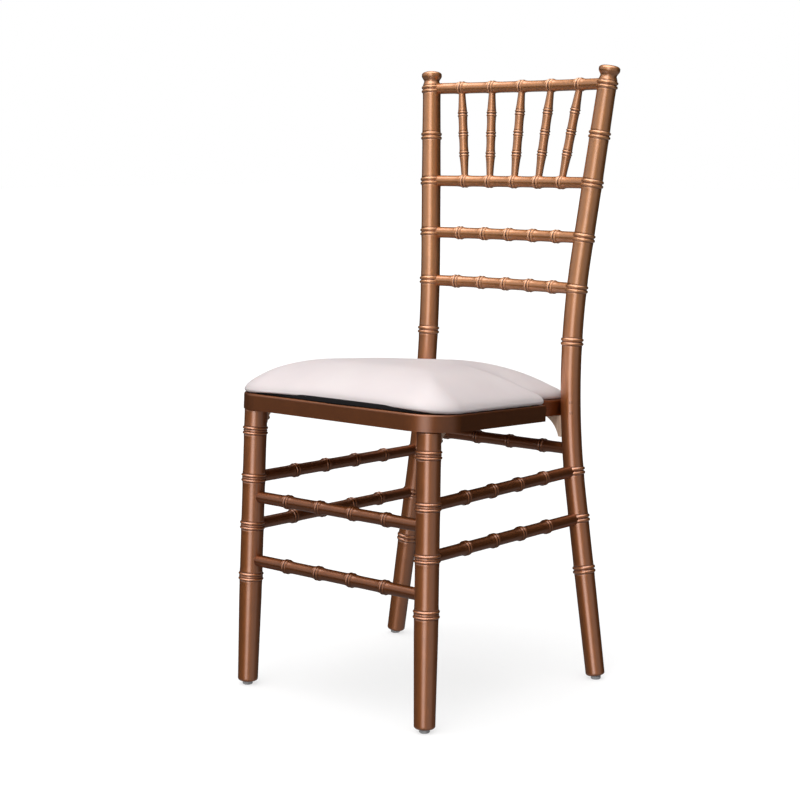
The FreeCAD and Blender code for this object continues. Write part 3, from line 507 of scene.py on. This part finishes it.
class PostPath:
    def __init__(self, side):
        footX, footY = chairLines["rearFoot"]
        foot = Vector((side * footX, footY, 0)) * mm
        waistX, waistY, waistZ = chairLines["waist"]
        corner = Vector((side * waistX, waistY, waistZ)) * mm
        tipX, tipY, tipZ = chairLines["top"]
        tip = Vector((side * tipX, tipY, tipZ)) * mm
        run = chairLines["bendRun"] * mm
        self.foot = foot
        self.rise = (corner - foot).normalized()
        self.lean = (tip - corner).normalized()
        self.turn = self.rise.angle(self.lean)
        self.radius = run / math.tan(self.turn / 2)
        self.inward = (self.lean - self.rise * self.rise.dot(self.lean)).normalized()
        self.start = corner - self.rise * run
        self.finish = corner + self.lean * run
        self.lowerLength = (self.start - foot).length
        self.bendLength = self.radius * self.turn
        self.length = self.lowerLength + self.bendLength + (tip - self.finish).length
        self.axis = self.rise.cross(self.inward).normalized()
        self.centre = self.start + self.inward * self.radius

    def place(self, distance):
        along = distance - self.lowerLength
        inBend = min(max(along, 0.0), self.bendLength)
        outward = Matrix.Rotation(inBend / self.radius, 3, self.axis) @ -self.inward
        heading = self.rise if along < 0 else self.lean
        return self.centre + outward * self.radius + heading * (along - inBend), outward, self.axis

    def distanceAt(self, height):
        low, high = 0.0, self.length
        for _ in range(50):
            middle = (low + high) / 2
            if self.place(middle)[0].z < height * mm:
                low = middle
            else:
                high = middle
        return low

    def point(self, height):
        return self.place(self.distanceAt(height))[0]


class RailPath:
    def __init__(self, height, bow):
        end = posts[1].point(height)
        self.radius = (end.x ** 2 + bow ** 2) / (2 * bow)
        self.half = math.asin(end.x / self.radius) * self.radius
        self.centre = Vector((0, end.y + bow - self.radius, height * mm))

    def place(self, distance):
        angle = distance / self.radius
        outward = Vector((math.sin(angle), math.cos(angle), 0))
        return self.centre + outward * self.radius, outward, Vector((0, 0, 1))


posts = {side: PostPath(side) for side in (-1, 1)}
sideNames = {-1: "left", 1: "right"}
ringHeights = {
    "leg": (165.7, 242.8, 314.2, 385.0),
    "post": (165.7, 242.8, 314.2, 509.0, 588.5, 665.0, 745.6, 817.5, 891.6),
}
legValues = {
    "radius": 16.8,
    "footRadius": 15.0,
    "taperTop": 135.0,
    "bevelRadius": 8.0,
    "bottom": 5.0,
    "bevelTop": 9.0,
    "topGap": 1.2,          # below the seat, where the panel's tilt would cut the leg
    "rise": 1.5,
    "beadWidth": 3.5,
    "beadGap": 4.2,
    "swell": 0.5,           # how much the wood thickens beside a double ring
    "swellReach": 9.0,
}


def footStations(values, radius):
    bottom, small = values["bottom"], values["bevelRadius"]
    bevelRun = values["bevelTop"] - bottom
    widening = values["footRadius"] - small
    stations = [(bottom * mm, 0.0, 0.0), (bottom * mm, small * mm, 0.0)]
    for index in range(1, turning["footSteps"] + 1):
        angle = math.pi / 2 * index / turning["footSteps"]
        height = bottom + bevelRun * (1 - math.cos(angle))
        stations.append((height * mm, (small + widening * math.sin(angle)) * mm, 0.0))
    stations.append((values["taperTop"] * mm, radius * mm, 0.0))
    return stations


def makeFrontLeg(side):
    values = legValues
    foot, top = legEnds(side)
    scale = (top - foot).length / top.z
    stations = footStations(values, values["radius"])
    centres = []
    for height in ringHeights["leg"]:
        centre = height * mm * scale
        centres.append(centre)
        stations += doubleRing(centre, values["radius"] * mm, values)
    shoulder = (top - foot).length - values["topGap"] * mm
    stations += [(shoulder, values["radius"] * mm, 0.0), (shoulder, 0.0, 0.0)]
    stations = addSwell(smoothRuns(stations), centres, values)
    word = sideNames[side]
    line = straightLine(foot, top)
    turnedPiece(f"frontLeg_{word}", stations, line, [f"front_leg_{word}"], "frame", materials["bronze"])


postValues = {
    "radius": 15.2,
    "footRadius": 14.4,
    "topRadius": 14.2,
    "taperTop": 135.0,
    "bevelRadius": 7.4,
    "bottom": 5.0,
    "bevelTop": 9.0,
    "rise": 1.7,
    "beadWidth": 4.9,
    "beadGap": 1.4,
    "swell": 0.4,
    "swellReach": 9.0,
    "neckRadius": 12.2,
    "finialRadius": 16.1,
    "finialHeight": 16.0,
    "neckShare": 0.56,      # shares of the finial's height
    "rimShare": 0.70,
    "capShare": 0.30,
    "neckSteps": 8,
    "capSteps": 12,
}


def finialStations(values, tip):
    tall = values["finialHeight"] * mm
    neck = tip - tall
    small = values["neckRadius"] * mm
    large = values["finialRadius"] * mm
    stations = []
    for index in range(values["neckSteps"] + 1):      # hollow neck that opens into the cap
        share = index / values["neckSteps"]
        reach = small + (large - small) * (1 - math.cos(math.pi * share)) / 2
        # a relief below zero paints shade into the hollow neck
        stations.append((neck + tall * values["neckShare"] * share, reach, -0.25 * (1 - share)))
    rim = neck + tall * values["rimShare"]
    for index in range(1, values["capSteps"] + 1):    # flat cap with a rounded rim
        angle = math.pi / 2 * index / values["capSteps"]
        reach = large * math.cos(angle) ** 0.5
        stations.append((rim + tall * values["capShare"] * math.sin(angle) ** 1.2, reach, 0.2))
    stations[-1] = (tip, 0.0, 0.2)
    return stations


def makeBackPost(side):
    values = postValues
    path = posts[side]
    stations = footStations(values, values["radius"])
    centres = []
    upper = path.distanceAt(ringHeights["post"][6])
    crest = path.distanceAt(ringHeights["post"][8])
    for height in ringHeights["post"]:
        centre = path.distanceAt(height)
        centres.append(centre)
        thinner = max(0.0, (centre - upper) / (crest - upper))
        radius = values["radius"] + (values["topRadius"] - values["radius"]) * thinner
        stations += doubleRing(centre, radius * mm, values)
    stations += finialStations(values, path.length)
    stations = addSwell(smoothRuns(stations), centres, values)
    word = sideNames[side]
    node = f"back_post_{word}"
    turnedPiece(f"backPost_{word}", stations, path.place, [node], "frame", materials["bronze"])


stretcherValues = {
    "radius": 8.8,
    "rise": 0.8,
    "beadWidth": 2.8,
    "beadGap": 2.7,
    "swell": 1.4,
    "swellReach": 7.5,
    "pitch": 64.0,
    "buried": 9.6,          # from the leg axis to the hidden end
    "heights": {
        "frontLower": 190.5,
        "frontUpper": 286.0,
        "sideLower": 242.8,
        "sideUpper": 314.2,
        "back": 347.0,
    },
}


def makeStretcher(name, node, start, finish):
    values = stretcherValues
    along = (finish - start).normalized()
    start = start + along * values["buried"] * mm
    finish = finish - along * values["buried"] * mm
    length = (finish - start).length
    stations = [(0.0, 0.0, 0.0), (0.0, values["radius"] * mm, 0.0)]
    centres = [length / 2 + values["pitch"] * step * mm for step in (-1.5, -0.5, 0.5, 1.5)]
    for centre in centres:
        stations += doubleRing(centre, values["radius"] * mm, values)
    stations += [(length, values["radius"] * mm, 0.0), (length, 0.0, 0.0)]
    stations = addSwell(smoothRuns(stations), centres, values)
    line = straightLine(start, finish)
    turnedPiece(name, stations, line, [node], "frame", materials["shadedBronze"])


def makeStretchers():
    heights = stretcherValues["heights"]
    for level in ("lower", "upper"):
        height = heights["front" + level.capitalize()]
        node = f"front_stretcher_{level}"
        makeStretcher(f"frontStretcher_{level}", node, legPoint(-1, height), legPoint(1, height))
        height = heights["side" + level.capitalize()]
        for side, word in sideNames.items():
            name, node = f"sideStretcher_{word}_{level}", f"side_stretcher_{word}_{level}"
            makeStretcher(name, node, legPoint(side, height), posts[side].point(height))
    height = heights["back"]
    makeStretcher("backStretcher", "back_stretcher", posts[-1].point(height), posts[1].point(height))


railValues = {
    "radius": 8.6,
    "rise": 0.8,
    "beadWidth": 2.9,
    "beadGap": 3.4,
    "swell": 1.4,
    "swellReach": 8.0,
    "buried": 9.5,
    "crestPitch": 57.8,
    "railPitch": 47.5,
    "places": {             # height and backward bow of each rail
        "crest_rail": (893.2, 15.5),
        "spindle_rail": (746.6, 13.5),
        "back_rail_upper": (665.0, 11.0),
        "back_rail_lower": (588.5, 12.0),
    },
}


def railPath(node):
    height, bow = railValues["places"][node]
    return RailPath(height, bow * mm)


def makeRails():
    values = railValues
    for node in values["places"]:
        path = railPath(node)
        pitch = values["crestPitch"] if node == "crest_rail" else values["railPitch"]
        ends = path.half - values["buried"] * mm
        stations = [(-ends, 0.0, 0.0), (-ends, values["radius"] * mm, 0.0)]
        centres = [pitch * step * mm for step in (-2, -1, 0, 1, 2)]
        for centre in centres:
            stations += doubleRing(centre, values["radius"] * mm, values)
        stations += [(ends, values["radius"] * mm, 0.0), (ends, 0.0, 0.0)]
        stations = addSwell(smoothRuns(stations), centres, values)
        words = node.split("_")
        name = words[0] + "".join(word.capitalize() for word in words[1:])
        turnedPiece(name, stations, path.place, [node], "frame", materials["bronze"])


spindleValues = {
    "radius": 6.9,
    "endRadius": 5.3,
    "rise": 0.7,
    "beadWidth": 2.5,
    "beadGap": 2.4,
    "swell": 0.6,
    "swellReach": 7.0,
    "pitch": 32.0,
    "ringShift": (0.4, 0.0, 1.2, 2.2, 2.4),   # how far each spindle's rings sit above its middle
    "buried": 3.6,
    "shoulder": 5.5,        # thin end that enters a rail
}


def makeSpindles():
    values = spindleValues
    low = railPath("spindle_rail")
    high = railPath("crest_rail")
    for index, step in enumerate((-2, -1, 0, 1, 2), start=1):
        foot = low.place(step * railValues["railPitch"] * mm)[0]
        head = high.place(step * railValues["crestPitch"] * mm)[0]
        along = (head - foot).normalized()
        start = foot + along * values["buried"] * mm
        finish = head - along * values["buried"] * mm
        length = (finish - start).length
        middle = length / 2 + values["ringShift"][index - 1] * mm
        centres = [middle + values["pitch"] * offset * mm for offset in (-1, 0, 1)]
        tip = values["shoulder"] * mm
        thin = values["endRadius"] * mm
        stations = [(0.0, 0.0, 0.0), (0.0, thin, 0.0), (tip, thin, 0.0)]
        for centre in centres:
            stations += doubleRing(centre, values["radius"] * mm, values)
        stations += [(length - tip, thin, 0.0), (length, thin, 0.0), (length, 0.0, 0.0)]
        stations = addSwell(smoothRuns(stations), centres, values)
        line = straightLine(start, finish)
        node = f"spindle_{index}"
        turnedPiece(f"spindle{index}", stations, line, [node], "frame", materials["bronze"])


for side in (-1, 1):
    makeFrontLeg(side)
    makeBackPost(side)
makeStretchers()
makeRails()
makeSpindles()
print("turned wood made")


# Screws in the corner blocks and filled screw holes in the posts

fasteners = {
    "head": (               # distance outwards, radius and relief
        (-0.5, 3.1, 0.0), (0.5, 3.1, 0.0), (1.0, 2.6, 0.0),
        (1.3, 1.4, 0.0), (0.4, 1.0, 0.0), (0.4, 0.0, 0.0),
    ),
    # the plug's relief below zero draws it darker, towards the groove colour
    "plug": ((-1.0, 2.8, -0.8), (0.02, 2.8, -0.8), (0.10, 2.5, -0.3), (0.12, 0.0, -0.2)),
    "backBlockScrew": (127.6, 160.0, 371.9),
    "backBlockFacing": (-0.72, 0.0, -0.69),
    "frontBlockScrew": (168.0, -169.8, 400.4),
    "frontBlockFacing": (0.0, 0.82, -0.57),
    "plugHeights": (419.0, 403.0),
    "plugTurn": 38.0,                  # outwards from straight ahead
}


def makeFastener(name, profile, base, facing, material):
    heading = facing.normalized()
    stations = [(distance * mm, radius * mm, relief) for distance, radius, relief in profile]
    turnedPiece(name, stations, straightLine(base, base + heading), [], "frame", material)


def makeFasteners():
    values = fasteners
    for side, word in sideNames.items():
        mirror = Vector((side, 1, 1))
        for block in ("backBlock", "frontBlock"):
            base = Vector(values[block + "Screw"]) * mirror * mm
            facing = Vector(values[block + "Facing"]) * mirror
            makeFastener(f"{block}Screw_{word}", values["head"], base, facing, materials["screw"])
        turn = math.radians(values["plugTurn"])
        facing = Vector((side * math.sin(turn), -math.cos(turn), 0))
        for index, height in enumerate(values["plugHeights"], start=1):
            base = posts[side].point(height) + facing * postValues["radius"] * mm
            makeFastener(f"postPlug{index}_{word}", values["plug"], base, facing, materials["bronze"])


makeFasteners()
print("fasteners made")


# Nodes kept from the model

keptNodes = {
    "shadedBronze": [
        "seat_rail_front", "seat_rail_left", "seat_rail_right", "seat_rail_back", "seat_panel",
    ],
    "beech": ["gusset_front_left", "gusset_front_right", "gusset_back_left", "gusset_back_right"],
    "nylon": ["glide_front_left", "glide_front_right", "glide_back_left", "glide_back_right"],
}
for finish, nodes in keptNodes.items():
    for node in nodes:
        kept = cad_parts[node]
        if not kept.material_slots:
            kept.data.materials.append(materials[finish])
        for slotIndex in range(len(kept.material_slots)):
            kept.material_slots[slotIndex].material = materials[finish]
print("kept nodes painted")


# Cushion

cushionValues = {
    "front": 221.0,
    "frontWidth": 400.0,
    "cornerRadius": 55.0,
    "sideEnd": 62.0,
    "endWidth": 346.0,
    "notchRadius": 22.0,
    "back": 180.0,
    "tongueWidth": 246.0,
    "rearCorner": 7.0,
    "inset": 1.0,
    "boardInset": 6.0,
    "boardBottom": 0.3,
    "boardTop": 7.2,
    "boardForward": 5.5,    # how far the board's front edge bulges where it shows; its black is partly the real dust cover and partly painted shade under the lifted cover
    "boardFrontSteps": 16,
    "boardBevel": 1.2,
    "base": 0.6,            # lowest edge of the cover above the seat
    "edgeHeight": 8.0,      # upright part of the pad's side
    "roll": 3.5,            # rounded part above it
    "rollWidth": 11.0,
    "crown": 50.5,
    "shoulder": 95.0,       # width of the sloping border
    "roundness": 1.62,      # how fast the border rises
    "belly": 2.2,           # how far the side swells out at its middle
    "tuck": 1.5,            # how far the cover pulls in at its lower edge
    "frontTuck": 1.5,       # further in where the front edge is lifted
    "tuckHeight": 13.0,
    "frontLift": 6.8,       # how far the cover's front edge bares the board
    "liftMiddle": 20.0,
    "liftReach": 185.0,
    "liftDepth": 26.0,
    "middle": (0.0, -40.0),
    "edgeReach": 10.0,      # how far inwards the belly and the tuck are felt
    "voxel": 4.5,
    "shapingRounds": 3,
    "settlingRounds": 2,
    "pressure": 4.0,
    "stiffness": 30.0,
    "shearStiffness": 10.0,
    "frames": 20,
    "heldBelow": 3.0,       # the cover's lowest part doesn't move
    "swellCap": 4.5,
    "swellRounds": 60,      # evens the swelling out
    "evenAbove": 17.0,      # the cover is evened out above this height
    "evenRounds": 14,
}


def sideEdge(distance):
    values = cushionValues
    corner = -values["front"] + values["cornerRadius"]
    taper = (values["frontWidth"] - values["endWidth"]) / 2 / (values["sideEnd"] - corner)
    return values["frontWidth"] / 2 - taper * (distance - corner)


def arcPoints(centre, radius, start, finish, count):
    middleX, middleY = centre
    turns = [math.radians(start + (finish - start) * index / count) for index in range(count + 1)]
    return [(middleX + radius * math.cos(turn), middleY + radius * math.sin(turn)) for turn in turns]


def cushionOutline(inset):
    values = cushionValues
    radius = values["cornerRadius"] - inset
    front = -values["front"] + inset
    corner = front + radius
    wide = sideEdge(corner) - inset
    end = values["sideEnd"] - inset
    half = values["tongueWidth"] / 2 - inset
    notch = values["notchRadius"] + inset
    soft = values["rearCorner"]
    hollow = (half + notch, end + notch)
    edge = sideEdge(end) - inset
    points = arcPoints((wide - radius, corner), radius, -90, 0, 14)
    points += arcPoints((edge - soft, end - soft), soft, 0, 90, 5)
    points += arcPoints(hollow, notch, -90, -180, 8)
    points += arcPoints((half - soft, values["back"] - inset - soft), soft, 0, 90, 5)
    return points + [(-x, y) for x, y in reversed(points)]


def boardOutline():
    values = cushionValues
    points = cushionOutline(values["boardInset"])
    (left, front), right = points[-1], points[0][0]
    steps = values["boardFrontSteps"]
    for index in range(1, steps):         # the front edge runs forward where the cover bares it, black dust cover that also stands in for the shade there
        x = left + (right - left) * index / steps
        across = max(-1.0, min(1.0, (x - values["liftMiddle"]) / values["liftReach"]))
        points.append((x, front - values["boardForward"] * math.cos(across * math.pi / 2) ** 3))
    return points


def prism(name, outline, low, high):
    mesh = bpy.data.meshes.new(name)
    shape = bmesh.new()
    bottom = [shape.verts.new((x * mm, y * mm, low * mm)) for x, y in outline]
    top = [shape.verts.new((x * mm, y * mm, high * mm)) for x, y in outline]
    shape.faces.new(list(reversed(bottom)))
    shape.faces.new(top)
    for index in range(len(outline)):
        ahead = (index + 1) % len(outline)
        shape.faces.new((bottom[index], bottom[ahead], top[ahead], top[index]))
    bmesh.ops.recalc_face_normals(shape, faces=shape.faces)
    shape.to_mesh(mesh)
    shape.free()
    piece = bpy.data.objects.new(name, mesh)
    bpy.context.scene.collection.objects.link(piece)
    return piece


def applyModifiers(piece):
    graph = bpy.context.evaluated_depsgraph_get()
    mesh = bpy.data.meshes.new_from_object(piece.evaluated_get(graph))
    old = piece.data
    piece.modifiers.clear()
    piece.data = mesh
    bpy.data.meshes.remove(old)


def edgeDistance(points, outline):
    best = np.full(len(points), 1e9)
    corners = np.array(outline + outline[:1]) * mm
    for start, finish in zip(corners[:-1], corners[1:]):
        run = finish - start
        share = np.clip(((points - start) @ run) / max(run @ run, 1e-12), 0, 1)
        nearest = start + share[:, None] * run
        best = np.minimum(best, np.hypot(*(points - nearest).T))
    return best


def readPoints(mesh):
    flat = np.empty(len(mesh.vertices) * 3)
    mesh.vertices.foreach_get("co", flat)
    return flat.reshape(-1, 3)


def writePoints(mesh, points):
    mesh.vertices.foreach_set("co", points.reshape(-1))
    mesh.update()


def shapePad(points, outline):
    values = cushionValues
    distance = edgeDistance(points[:, :2], outline)
    share = np.clip(distance / (values["shoulder"] * mm), 0, 1)
    rise = 1 - (1 - share) ** values["roundness"]
    rolled = np.sqrt(1 - (1 - np.clip(distance / (values["rollWidth"] * mm), 0, 1)) ** 2)
    slope = values["crown"] - values["edgeHeight"] - values["roll"]
    height = (values["edgeHeight"] + values["roll"] * rolled + slope * rise) * mm
    level = np.clip(points[:, 2] / (values["crown"] * mm), 0, 1)
    across = np.clip((points[:, 0] / mm - values["liftMiddle"]) / values["liftReach"], -1, 1)
    behind = (points[:, 1] / mm + values["front"]) / values["liftDepth"]
    lift = values["frontLift"] * mm * np.cos(across * math.pi / 2) * np.exp(-behind ** 2)
    shaped = points.copy()
    shaped[:, 2] = lift + level * (height - lift)
    outward = points[:, :2] - np.array(values["middle"]) * mm
    outward /= np.linalg.norm(outward, axis=1)[:, None] + 1e-9
    nearEdge = np.exp(-(distance / (values["edgeReach"] * mm)) ** 2)
    lowPart = np.clip(1 - (shaped[:, 2] - lift) / (values["tuckHeight"] * mm), 0, 1) ** 2
    rounded = np.sin(math.pi * np.clip(level, 0, 1)) * values["belly"]
    tuck = values["tuck"] + values["frontTuck"] * lift / (values["frontLift"] * mm)
    shaped[:, :2] += outward * (nearEdge * (rounded - lowPart * tuck) * mm)[:, None]
    return shaped


def smoothField(mesh, field, rounds):
    edges = np.empty(len(mesh.edges) * 2, dtype=np.int64)
    mesh.edges.foreach_get("vertices", edges)
    first, second = edges.reshape(-1, 2).T
    count = np.bincount(edges, minlength=len(field))[:, None]
    for _ in range(rounds):
        total = np.zeros_like(field)
        np.add.at(total, first, field[second])
        np.add.at(total, second, field[first])
        field = (field + total / count) / 2
    return field


def swellWithCloth(piece):
    values = cushionValues
    start = readPoints(piece.data)
    group = piece.vertex_groups.new(name="held")
    group.add(np.nonzero(start[:, 2] < values["heldBelow"] * mm)[0].tolist(), 1.0, "REPLACE")
    cloth = piece.modifiers.new("cloth", "CLOTH")
    cloth.settings.use_pressure = True
    cloth.settings.uniform_pressure_force = values["pressure"]
    cloth.settings.vertex_group_mass = "held"
    cloth.settings.effector_weights.gravity = 0.0
    cloth.settings.tension_stiffness = values["stiffness"]
    cloth.settings.compression_stiffness = values["stiffness"]
    cloth.settings.shear_stiffness = values["shearStiffness"]
    cloth.point_cache.frame_start = 1
    cloth.point_cache.frame_end = values["frames"]
    for step in range(1, values["frames"] + 1):
        bpy.context.scene.frame_set(step)
    graph = bpy.context.evaluated_depsgraph_get()
    swollen = readPoints(piece.evaluated_get(graph).data)
    piece.modifiers.clear()
    bpy.context.scene.frame_set(1)
    move = swollen - start
    size = np.linalg.norm(move, axis=1)
    cap = values["swellCap"] * mm
    move *= np.minimum(1, cap / np.maximum(size, 1e-9))[:, None]
    move = smoothField(piece.data, move, values["swellRounds"])
    writePoints(piece.data, start + move)
    print("cushion swollen, largest move", round(float(size.max()) * 1000, 1), "mm")


def addSmoothing(piece, name, rounds):
    smooth = piece.modifiers.new(name, "SMOOTH")
    smooth.factor = 0.5
    smooth.iterations = rounds
    return smooth


def makePad():
    values = cushionValues
    outline = cushionOutline(values["inset"])
    pad = prism("cushionPad", outline, 0.0, values["crown"])
    remesh = pad.modifiers.new("remesh", "REMESH")
    remesh.mode = "VOXEL"
    remesh.voxel_size = values["voxel"] * mm
    applyModifiers(pad)
    writePoints(pad.data, shapePad(readPoints(pad.data), outline))
    addSmoothing(pad, "smooth", values["shapingRounds"])
    applyModifiers(pad)
    swellWithCloth(pad)
    upper = pad.vertex_groups.new(name="upper")
    heights = readPoints(pad.data)[:, 2]
    upper.add(np.nonzero(heights > values["evenAbove"] * mm)[0].tolist(), 1.0, "REPLACE")
    addSmoothing(pad, "even", values["evenRounds"]).vertex_group = "upper"
    addSmoothing(pad, "settle", values["settlingRounds"])
    finer = pad.modifiers.new("finer", "SUBSURF")
    finer.levels = 1
    finer.render_levels = 1
    applyModifiers(pad)
    for polygon in pad.data.polygons:
        polygon.use_smooth = True
    lift = Matrix.Translation((0, 0, (values["base"] + chairLines["seatThickness"]) * mm))
    pad.data.transform(seatMatrix() @ lift)
    pad.data.materials.append(materials["leatherette"])
    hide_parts("cushion_pad")
    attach(pad, "cushion")


def makeBoard():
    values = cushionValues
    board = prism("cushionBoard", boardOutline(), values["boardBottom"], values["boardTop"])
    bevel = board.modifiers.new("soften", "BEVEL")
    bevel.width = values["boardBevel"] * mm
    bevel.segments = 3
    applyModifiers(board)
    lift = Matrix.Translation((0, 0, chairLines["seatThickness"] * mm))
    board.data.transform(seatMatrix() @ lift)
    board.data.materials.append(materials["dustCover"])
    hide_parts("cushion_board")
    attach(board, "cushion")


makePad()
makeBoard()
print("cushion made")


# Floor, light and camera

studio = {
    "floorReach": 30.0,
    "floorColour": (0.30, 0.30, 0.30),
    "floorRoughness": 0.6,
    "floorGlow": 0.70,                 # a floor lit from below, so that shadows stay faint
    "cameraPlace": (1.7374, -2.0394, 0.7934),
    "cameraTurn": (82.164, 0.0, 41.324),
    "lens": 81.29,
    "lights": {                        # azimuth from the front, elevation, spread in degrees, strength
        "keyLight": (17.0, 50.0, 40.0, 0.5),
        "topLight": (-20.0, 82.0, 70.0, 1.7),
    },
    "softboxes": {                     # azimuth, half width, soft edge, low and high rise, strength
        "tallStrip": (24.0, 14.0, 13.0, -0.30, 0.66, 2.3),
        "sideFill": (85.0, 32.0, 15.0, -0.40, 0.80, 0.30),
        "frontFill": (-38.0, 42.0, 18.0, 0.02, 0.90, 0.62),
        "floorBounce": (0.0, 200.0, 10.0, -1.20, -0.36, 0.20),
    },
    "softRise": 0.08,                  # how gently a softbox ends above and below
    "ceiling": (0.60, 0.92, 1.2),      # rise where it starts, rise where it is full, strength
    "room": 0.025,
    "paper": 1.0,
}


def makeStudio():
    values = studio
    floorMesh = bpy.data.meshes.new("floor")
    reach = values["floorReach"]
    corners = [(-reach, -reach, 0), (reach, -reach, 0), (reach, reach, 0), (-reach, reach, 0)]
    floorMesh.from_pydata(corners, [], [(0, 1, 2, 3)])
    floor = bpy.data.objects.new("floor", floorMesh)
    bpy.context.scene.collection.objects.link(floor)
    paint, tree, shader = newMaterial("floorPaint", values["floorColour"])
    shader.inputs["Roughness"].default_value = values["floorRoughness"]
    shader.inputs["Specular IOR Level"].default_value = 0.0
    shader.inputs["Emission Color"].default_value = (1, 1, 1, 1)
    shader.inputs["Emission Strength"].default_value = values["floorGlow"]
    floorMesh.materials.append(paint)
    floor.visible_glossy = False      # the floor takes shadows and throws no light back up
    floor.visible_diffuse = False
    makeWorld()
    for name, light in values["lights"].items():
        addSoftSun(name, *light)
    camera = bpy.data.objects.new("camera", bpy.data.cameras.new("camera"))
    bpy.context.scene.collection.objects.link(camera)
    camera.location = values["cameraPlace"]
    camera.rotation_euler = [math.radians(turn) for turn in values["cameraTurn"]]
    camera.data.lens = values["lens"]
    camera.data.sensor_width = 36.0
    bpy.context.scene.camera = camera
    bpy.context.scene.view_settings.view_transform = "Standard"


def smoothStep(tree, place, source, start, finish):
    node = addNode(tree, "ShaderNodeMapRange", place, interpolation_type="SMOOTHSTEP")
    node.inputs["From Min"].default_value = start
    node.inputs["From Max"].default_value = finish
    tree.links.new(source, node.inputs["Value"])
    return node.outputs["Result"]


def combine(tree, place, operation, first, second=0.0):
    node = addNode(tree, "ShaderNodeMath", place, operation=operation)
    for socket, value in zip(node.inputs, (first, second)):
        if isinstance(value, float):
            socket.default_value = value
        else:
            tree.links.new(value, socket)
    return node.outputs["Value"]


def addSoftbox(tree, row, azimuth, rise, box):
    centre, half, soft, low, high, strength = box
    edge = studio["softRise"]
    outer, inner = math.radians(half + soft), math.radians(half - soft)
    offset = combine(tree, (-1000, row), "SUBTRACT", azimuth, math.radians(centre))
    offset = combine(tree, (-840, row), "ABSOLUTE", offset)
    across = smoothStep(tree, (-680, row), offset, outer, inner)
    lower = smoothStep(tree, (-680, row - 120), rise, low - edge, low + edge)
    upper = smoothStep(tree, (-680, row - 240), rise, high + edge, high - edge)
    shape = combine(tree, (-500, row), "MULTIPLY", across, lower)
    shape = combine(tree, (-340, row), "MULTIPLY", shape, upper)
    return combine(tree, (-180, row), "MULTIPLY", shape, strength)


def makeWorld():
    world = bpy.data.worlds.new("studio")
    bpy.context.scene.world = world
    world.use_nodes = True
    tree = world.node_tree
    link = tree.links.new
    tree.nodes.clear()
    where = addNode(tree, "ShaderNodeTexCoord", (-1600, 0))
    split = addNode(tree, "ShaderNodeSeparateXYZ", (-1400, 0))
    link(where.outputs["Generated"], split.inputs["Vector"])
    ahead = combine(tree, (-1200, -150), "MULTIPLY", split.outputs["Y"], -1.0)
    azimuth = combine(tree, (-1200, 0), "ARCTAN2", split.outputs["X"], ahead)
    low, high, strength = studio["ceiling"]
    light = smoothStep(tree, (-680, 300), split.outputs["Z"], low, high)
    light = combine(tree, (-500, 300), "MULTIPLY", light, strength)
    light = combine(tree, (-340, 300), "ADD", light, studio["room"])
    for row, box in enumerate(studio["softboxes"].values(), start=1):
        shape = addSoftbox(tree, -400 * row, azimuth, split.outputs["Z"], box)
        light = combine(tree, (-20, -400 * row), "ADD", light, shape)
    room = addNode(tree, "ShaderNodeBackground", (160, 0))
    paper = addNode(tree, "ShaderNodeBackground", (160, -200), Strength=studio["paper"])
    for shader in (room, paper):
        shader.inputs["Color"].default_value = (1, 1, 1, 1)
    link(light, room.inputs["Strength"])
    path = addNode(tree, "ShaderNodeLightPath", (160, 350))
    mix = addNode(tree, "ShaderNodeMixShader", (400, 0))
    output = addNode(tree, "ShaderNodeOutputWorld", (600, 0))
    link(path.outputs["Is Camera Ray"], mix.inputs["Fac"])
    link(room.outputs["Background"], mix.inputs[1])
    link(paper.outputs["Background"], mix.inputs[2])
    link(mix.outputs["Shader"], output.inputs["Surface"])


def addSoftSun(name, azimuth, elevation, spread, strength):
    light = bpy.data.objects.new(name, bpy.data.lights.new(name, "SUN"))
    bpy.context.scene.collection.objects.link(light)
    light.data.energy = strength
    light.data.angle = math.radians(spread)
    turn, lift = math.radians(azimuth), math.radians(elevation)
    level = math.cos(lift)
    towards = Vector((math.sin(turn) * level, -math.cos(turn) * level, math.sin(lift)))
    light.location = towards * 4
    light.rotation_euler = towards.to_track_quat("Z", "Y").to_euler()


makeStudio()
print("studio made")
